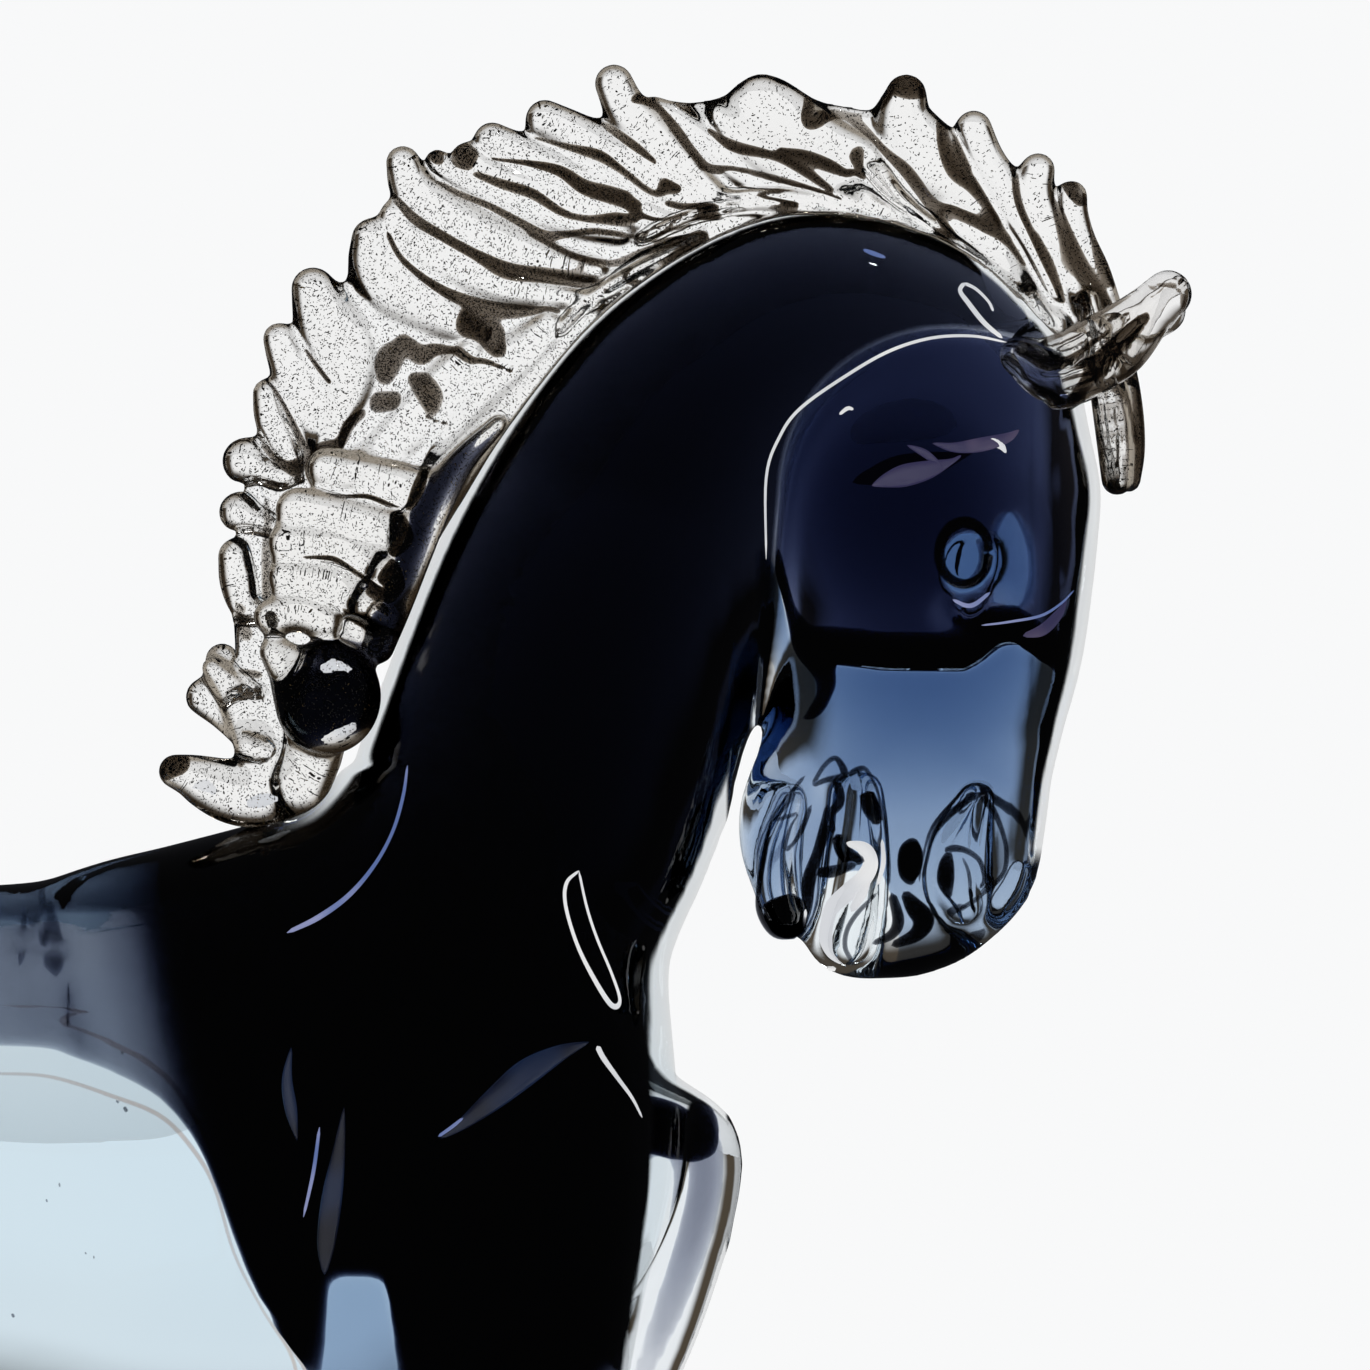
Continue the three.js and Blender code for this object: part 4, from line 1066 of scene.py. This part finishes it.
SHUT_UNDER = 0.6


def folded_in(name, finish, forms, host, blend=1.0):
    """Coloured glass shut into a piece, always a little under that piece's skin."""
    gather = Gather(*host.lines)
    for form in forms:
        gather.join(gather.form(form, steps=4), blend)
    gather.field = np.maximum(gather.field, host.field + SHUT_UNDER)
    points, faces = gather.skin(1)
    return shown_mesh(name, placed(points), faces, finish)


# Olive glass that paints the shade in the grooves of the mane and the ears.
groove_shade_glass = stained("olive_groove_shade", (0.2, 0.12, 0.02), 850.0)
upper_groove_shade = [drawn(0, 3.4, *fold) for fold in UPPER_GROOVE_SHADE]
roll_groove_shade = [drawn(-7.5, 4.4, *fold) for fold in ROLL_GROOVE_SHADE]
mane_groove_shade = folded_in("mane_groove_shade", groove_shade_glass, [*upper_groove_shade, *roll_groove_shade], mane)

# Dark cobalt glass laid along the crest and in the ball at the mane's foot paints the shadow there.
# Beside it, small white glowing patches paint highlights on the ball and at the mane's foot.
CREST_SHADOW = [
    drawn(-8, 4.0, (492, 425, 3), (457, 462, 6), (430, 505, 9), (409, 555, 10), (391, 600, 10),
            (378, 645, 8)),
    drawn(-11, 5.5, (288, 712, 13), (306, 716, 20), (334, 708, 22), (362, 698, 16)),
    drawn(-12, 5.5, (306, 648, 9), (326, 652, 14), (350, 656, 18), (374, 668, 14)),
    drawn(-12, 5.5, (300, 690, 12), (330, 684, 14), (366, 684, 14)),
]
ROLL_HIGHLIGHTS = [
    drawn(-18.5, 1.6, (328, 669, 5), (342, 664, 9), (358, 668, 6)),
    drawn(-17.4, 1.4, (328, 740, 5), (341, 736, 8.5), (356, 727, 6)),
    drawn(-9.5, 1.2, (198, 786, 4), (206, 784, 7), (216, 790, 5)),
    drawn(-9.5, 1.2, (252, 802, 5), (263, 800, 8), (276, 798, 5)),
]
folded_in("crest_shadow", ink, CREST_SHADOW, mane, blend=3.0)
folded_in("roll_highlights", white_glow, ROLL_HIGHLIGHTS, mane)

# Metal leaf was rolled onto the hot mane glass and cased over. Stretching tore it into thousands of dark
# gold flecks, which lie just under the skin.
fleck_metal, fleck_end, fleck_shader = material("torn_leaf", Metallic=0.35, Roughness=0.5)
worn = fleck_end.output("ShaderNodeTexNoise", out=0, Scale=900.0, Detail=1.0,
                        Vector=fleck_end.output("ShaderNodeTexCoord", out=3))
leaf_tone = fleck_end.output("ShaderNodeMix", {"data_type": "RGBA"}, out=2, i0=worn.smooth(0.55, 0.7),
                             i6=(0.022, 0.018, 0.013, 1), i7=(0.3, 0.2, 0.06, 1))
fleck_metal.node_tree.links.new(leaf_tone.socket, fleck_shader.inputs["Base Color"])

fleck_tree = bpy.data.node_groups.new("scattered_flecks", "GeometryNodeTree")
for label, kind, way_in, value in (
    ("Glass", "NodeSocketGeometry", "INPUT", None),
    ("Per square metre", "NodeSocketFloat", "INPUT", 200000.0),
    ("Seed", "NodeSocketInt", "INPUT", 7),
    ("Longest", "NodeSocketFloat", "INPUT", 0.00056),
    ("Depth", "NodeSocketFloat", "INPUT", 0.0006),
    ("Leaf", "NodeSocketMaterial", "INPUT", None),
    ("Flecks", "NodeSocketGeometry", "OUTPUT", None),
):
    made = fleck_tree.interface.new_socket(name=label, in_out=way_in, socket_type=kind)
    if value is not None:
        made.default_value = value


def laid(kind, settings=None, **wired):
    """A node of the fleck tree, with its settings made and its sockets filled or linked."""
    node = fleck_tree.nodes.new(kind)
    for name, value in (settings or {}).items():
        setattr(node, name, value)
    for name, value in wired.items():
        socket = node.inputs[name.replace("_", " ") if name[0] != "i" else int(name[1:])]
        if isinstance(value, bpy.types.NodeSocket):
            fleck_tree.links.new(value, socket)
        else:
            socket.default_value = value
    return node


given = laid("NodeGroupInput").outputs
THICKEST_AT, THINNEST_AT = placed([(104, 0, 0), (150, 0, 0)])[:, 0].tolist()
along_mane = laid("ShaderNodeSeparateXYZ", i0=laid("GeometryNodeInputPosition").outputs[0])
THINNEST = 0.4
thinning = laid("ShaderNodeMapRange", i0=along_mane.outputs[0],
                i1=THICKEST_AT, i2=THINNEST_AT, i3=1.0, i4=THINNEST)
thickness = laid("ShaderNodeMath", {"operation": "MULTIPLY"},
                 i0=thinning.outputs[0], i1=given["Per square metre"])
scattered = laid("GeometryNodeDistributePointsOnFaces", Mesh=given["Glass"], Density=thickness.outputs[0],
                 Seed=given["Seed"])
depth = laid("FunctionNodeRandomValue", {"data_type": "FLOAT"}, i2=0.15, i3=1.0, i8=3)
below_skin = laid("ShaderNodeMath", {"operation": "MULTIPLY"}, i0=depth.outputs[1], i1=given["Depth"])
backwards = laid("ShaderNodeMath", {"operation": "MULTIPLY"}, i0=below_skin.outputs[0], i1=-1.0)
inwards = laid("ShaderNodeVectorMath", {"operation": "SCALE"},
               i0=scattered.outputs["Normal"], i3=backwards.outputs[0])
sunk = laid("GeometryNodeSetPosition", Geometry=scattered.outputs["Points"], Offset=inwards.outputs[0])
sliver = laid("GeometryNodeMeshCircle", {"fill_type": "NGON"}, Vertices=5, Radius=0.5)
stretch = laid("FunctionNodeRandomValue", {"data_type": "FLOAT_VECTOR"},
               i0=(0.25, 0.12, 1.0), i1=(1.0, 0.4, 1.0), i8=5)
sized = laid("ShaderNodeVectorMath", {"operation": "SCALE"}, i0=stretch.outputs[0], i3=given["Longest"])
spin = laid("FunctionNodeRandomValue", {"data_type": "FLOAT_VECTOR"},
            i0=(-0.5, -0.5, -3.14), i1=(0.5, 0.5, 3.14), i8=9)
turned = laid("FunctionNodeRotateRotation", {"rotation_space": "LOCAL"},
              i0=scattered.outputs["Rotation"], i1=spin.outputs[0])
strewn = laid("GeometryNodeInstanceOnPoints", Points=sunk.outputs[0], Instance=sliver.outputs[0],
              Rotation=turned.outputs[0], Scale=sized.outputs[0])
real = laid("GeometryNodeRealizeInstances", Geometry=strewn.outputs[0])
leafed = laid("GeometryNodeSetMaterial", Geometry=real.outputs[0], Material=given["Leaf"])
laid("NodeGroupOutput", i0=leafed.outputs[0])


def flecked(name, glass, per_square_metre, seed):
    """The flecks of one piece of glass as a plain mesh, scattered under its skin."""
    scatter = glass.modifiers.new("flecks", "NODES")
    scatter.node_group = fleck_tree
    names = {item.name: item.identifier for item in fleck_tree.interface.items_tree if item.in_out == "INPUT"}
    scatter[names["Per square metre"]] = float(per_square_metre)
    scatter[names["Seed"]] = seed
    scatter[names["Leaf"]] = fleck_metal
    seen_now = glass.evaluated_get(bpy.context.evaluated_depsgraph_get())
    data = bpy.data.meshes.new_from_object(seen_now)
    glass.modifiers.remove(scatter)
    data.name = name
    shown = bpy.data.objects.new(name, data)
    bpy.context.scene.collection.objects.link(shown)
    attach(shown, "root")
    return shown


MANE_LEAF, GROOVE_SHADE_LEAF, TAIL_LEAF = 2400000, 5000000, 700000
flecked("mane_flecks", pulled_mane, MANE_LEAF, 11)
flecked("groove_shade_flecks", mane_groove_shade, GROOVE_SHADE_LEAF, 4)

# The ears: two bits of clear glass pressed on and pulled forward over the brow.
CRYSTAL_LINES = (grid_line((198, 242, 0.7)), grid_line((-20, 20, 0.7)), grid_line((374, 414, 0.7)))
crystal = mottled(material("crystal", Roughness=0.0, IOR=1.5, Transmission_Weight=1.0), "Base Color",
                  (1.0, 1.0, 1.0), (0.95, 0.94, 0.93), 40.0)
tint(crystal, (0.7, 0.66, 0.6), 5.0)
EAR_LUMPS = [
    ((1018, 352, 9), (1034, 362, 8)), ((1030, 384, 7), (1048, 392, 9)), ((1052, 404, 8), (1070, 400, 9)),
]
EAR_GROOVES = [
    ((1022, 372, 2), (1048, 374, 3), (1076, 366, 2)), ((1042, 350, 2), (1062, 352, 2.6), (1088, 338, 2)),
]
# Olive threads along the ear's grooves paint their shade.
EAR_GROOVE_SHADE = [
    (3.4, (1068, 398, 3), (1088, 374, 7), (1108, 354, 8), (1128, 334, 7), (1144, 318, 3)),
    (3.0, (1018, 354, 2), (1040, 364, 5), (1062, 366, 5), (1082, 352, 3), (1104, 332, 3)),
    (3.0, (1030, 386, 2), (1048, 394, 3.6), (1064, 404, 3), (1078, 396, 2)),
    (2.0, (1148, 296, 0.8), (1166, 290, 1.4), (1176, 300, 2), (1172, 314, 1.4)),
]
LUMP_OUT, FOLD_OUT, GROOVE_OUT = 11, 11.5, 16
TIP_HEIGHT, NEAR_TIP_RISE = 402.5, 1.2
for name, side in (("right_ear", NEAR_SIDE), ("left_ear", FAR_SIDE)):
    tip = TIP_HEIGHT - NEAR_TIP_RISE * side
    ear = Gather(*CRYSTAL_LINES)
    ear.join(ear.form([
        (203, 9 * side, 391, 4, 4), (211, 11 * side, 388.6, 7, 5.5), (221, 12 * side, 393, 7.4, 5),
        (228, 12 * side, 399, 5.6, 4.6), (233, 11.5 * side, tip, 4.8, 4.8),
    ]), 1)
    for lump in EAR_LUMPS:
        ear.join(ear.form(drawn(LUMP_OUT * side, 4.5, *lump)), 1)
    ear.carve(ear.form([
        (210, 16.5 * side, 391, 1, 2), (218, 17.5 * side, 393, 2.4, 3), (226, 17 * side, 399, 1, 2),
    ]), 1.5)
    for groove in EAR_GROOVES:
        ear.carve(ear.form(drawn(GROOVE_OUT * side, 2.4, *groove)), 0.8)
    ear.melt()
    ear_points, ear_faces = ear.skin()
    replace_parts(shown_mesh(name + "_crystal", placed(ear_points), ear_faces, crystal), name)
    groove_shades = [drawn(FOLD_OUT * side, half_width, *fold) for half_width, *fold in EAR_GROOVE_SHADE]
    folded_in(name + "_folds", groove_shade_glass, groove_shades, ear)

# The tail: clear locks that leave the dock together and part below the hock.
TAIL_LOCKS = [
    [(-122, 0, 268, 9, 8), (-140, 0, 272, 10, 9), (-156, 0, 256, 11, 10), (-163, 0, 225, 11, 11),
     (-163, 0, 190, 10.5, 10), (-157, 0, 150, 8.5, 8), (-152, 0, 118, 6, 6), (-158, 0, 92, 4.2, 4.2)],
    [(-140, -4, 262, 7, 6), (-153, -7, 235, 7.5, 6), (-156, -8, 195, 7.5, 6), (-148, -9, 150, 6, 5.5),
     (-141, -8, 120, 4.6, 4.6), (-145, -7, 102, 3.6, 3.6)],
    [(-146, 5, 268, 6, 6), (-166, 8, 242, 7, 6), (-173, 9, 205, 7, 6), (-171, 9, 165, 6.5, 5.5),
     (-166, 8, 134, 5, 4.8), (-174, 8, 112, 3.8, 3.8)],
]
tail = Gather(grid_line((-190, -112, 1.2)), grid_line((-22, 22, 1.2)), grid_line((80, 292, 1.2)))
for stations in TAIL_LOCKS:
    tail.join(tail.form(stations), 2.5)
tail.melt()
tail_points, tail_faces = tail.skin()
pulled_tail = shown_mesh("pulled_tail", placed(tail_points), tail_faces, mane_glass)
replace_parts(pulled_tail, "tail")
flecked("tail_flecks", pulled_tail, TAIL_LEAF, 5)

# The base: a low oval of clear glass, poured and fire-polished, with the hooves set on it.
BASE_EDGE = 5.0
half_length = (base_high.x - base_low.x) / 2 / unit
half_width = (base_high.y - base_low.y) / 2 / unit
slab_low = (base_low.z - sole_height) / unit
slab_high = (base_high.z - sole_height) / unit
slab = Gather(
    grid_line((STANCE_MIDDLE - half_length - 4, STANCE_MIDDLE + half_length + 4, 1.8)),
    grid_line((-half_width - 4, half_width + 4, 1.8)), grid_line((slab_low - 3, slab_high + 3, 1.2)))
x, y, z = slab.axes((slice(None),) * 3)
around = np.sqrt(((x - STANCE_MIDDLE) / half_length) ** 2 + (y / half_width) ** 2)
to_rim = (around - 1) * half_width + BASE_EDGE
to_face = np.abs(z - (slab_low + slab_high) / 2) - (slab_high - slab_low) / 2 + BASE_EDGE
slab.field = (np.minimum(np.maximum(to_rim, to_face), 0)
              + np.hypot(np.maximum(to_rim, 0), np.maximum(to_face, 0)) - BASE_EDGE)
slab_points, slab_faces = slab.skin()
SEEN_THROUGH_BASE = 0.4
poured = mottled(
    material("poured_crystal", Roughness=0.0, IOR=1.5, Transmission_Weight=1.0, Alpha=SEEN_THROUGH_BASE),
    "Base Color", (1.0, 1.0, 1.0), (0.93, 0.94, 0.94), 30.0)
tint(poured, (0.7, 0.68, 0.64), 5.0)
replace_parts(shown_mesh("base_slab", placed(slab_points), slab_faces, poured), "base")
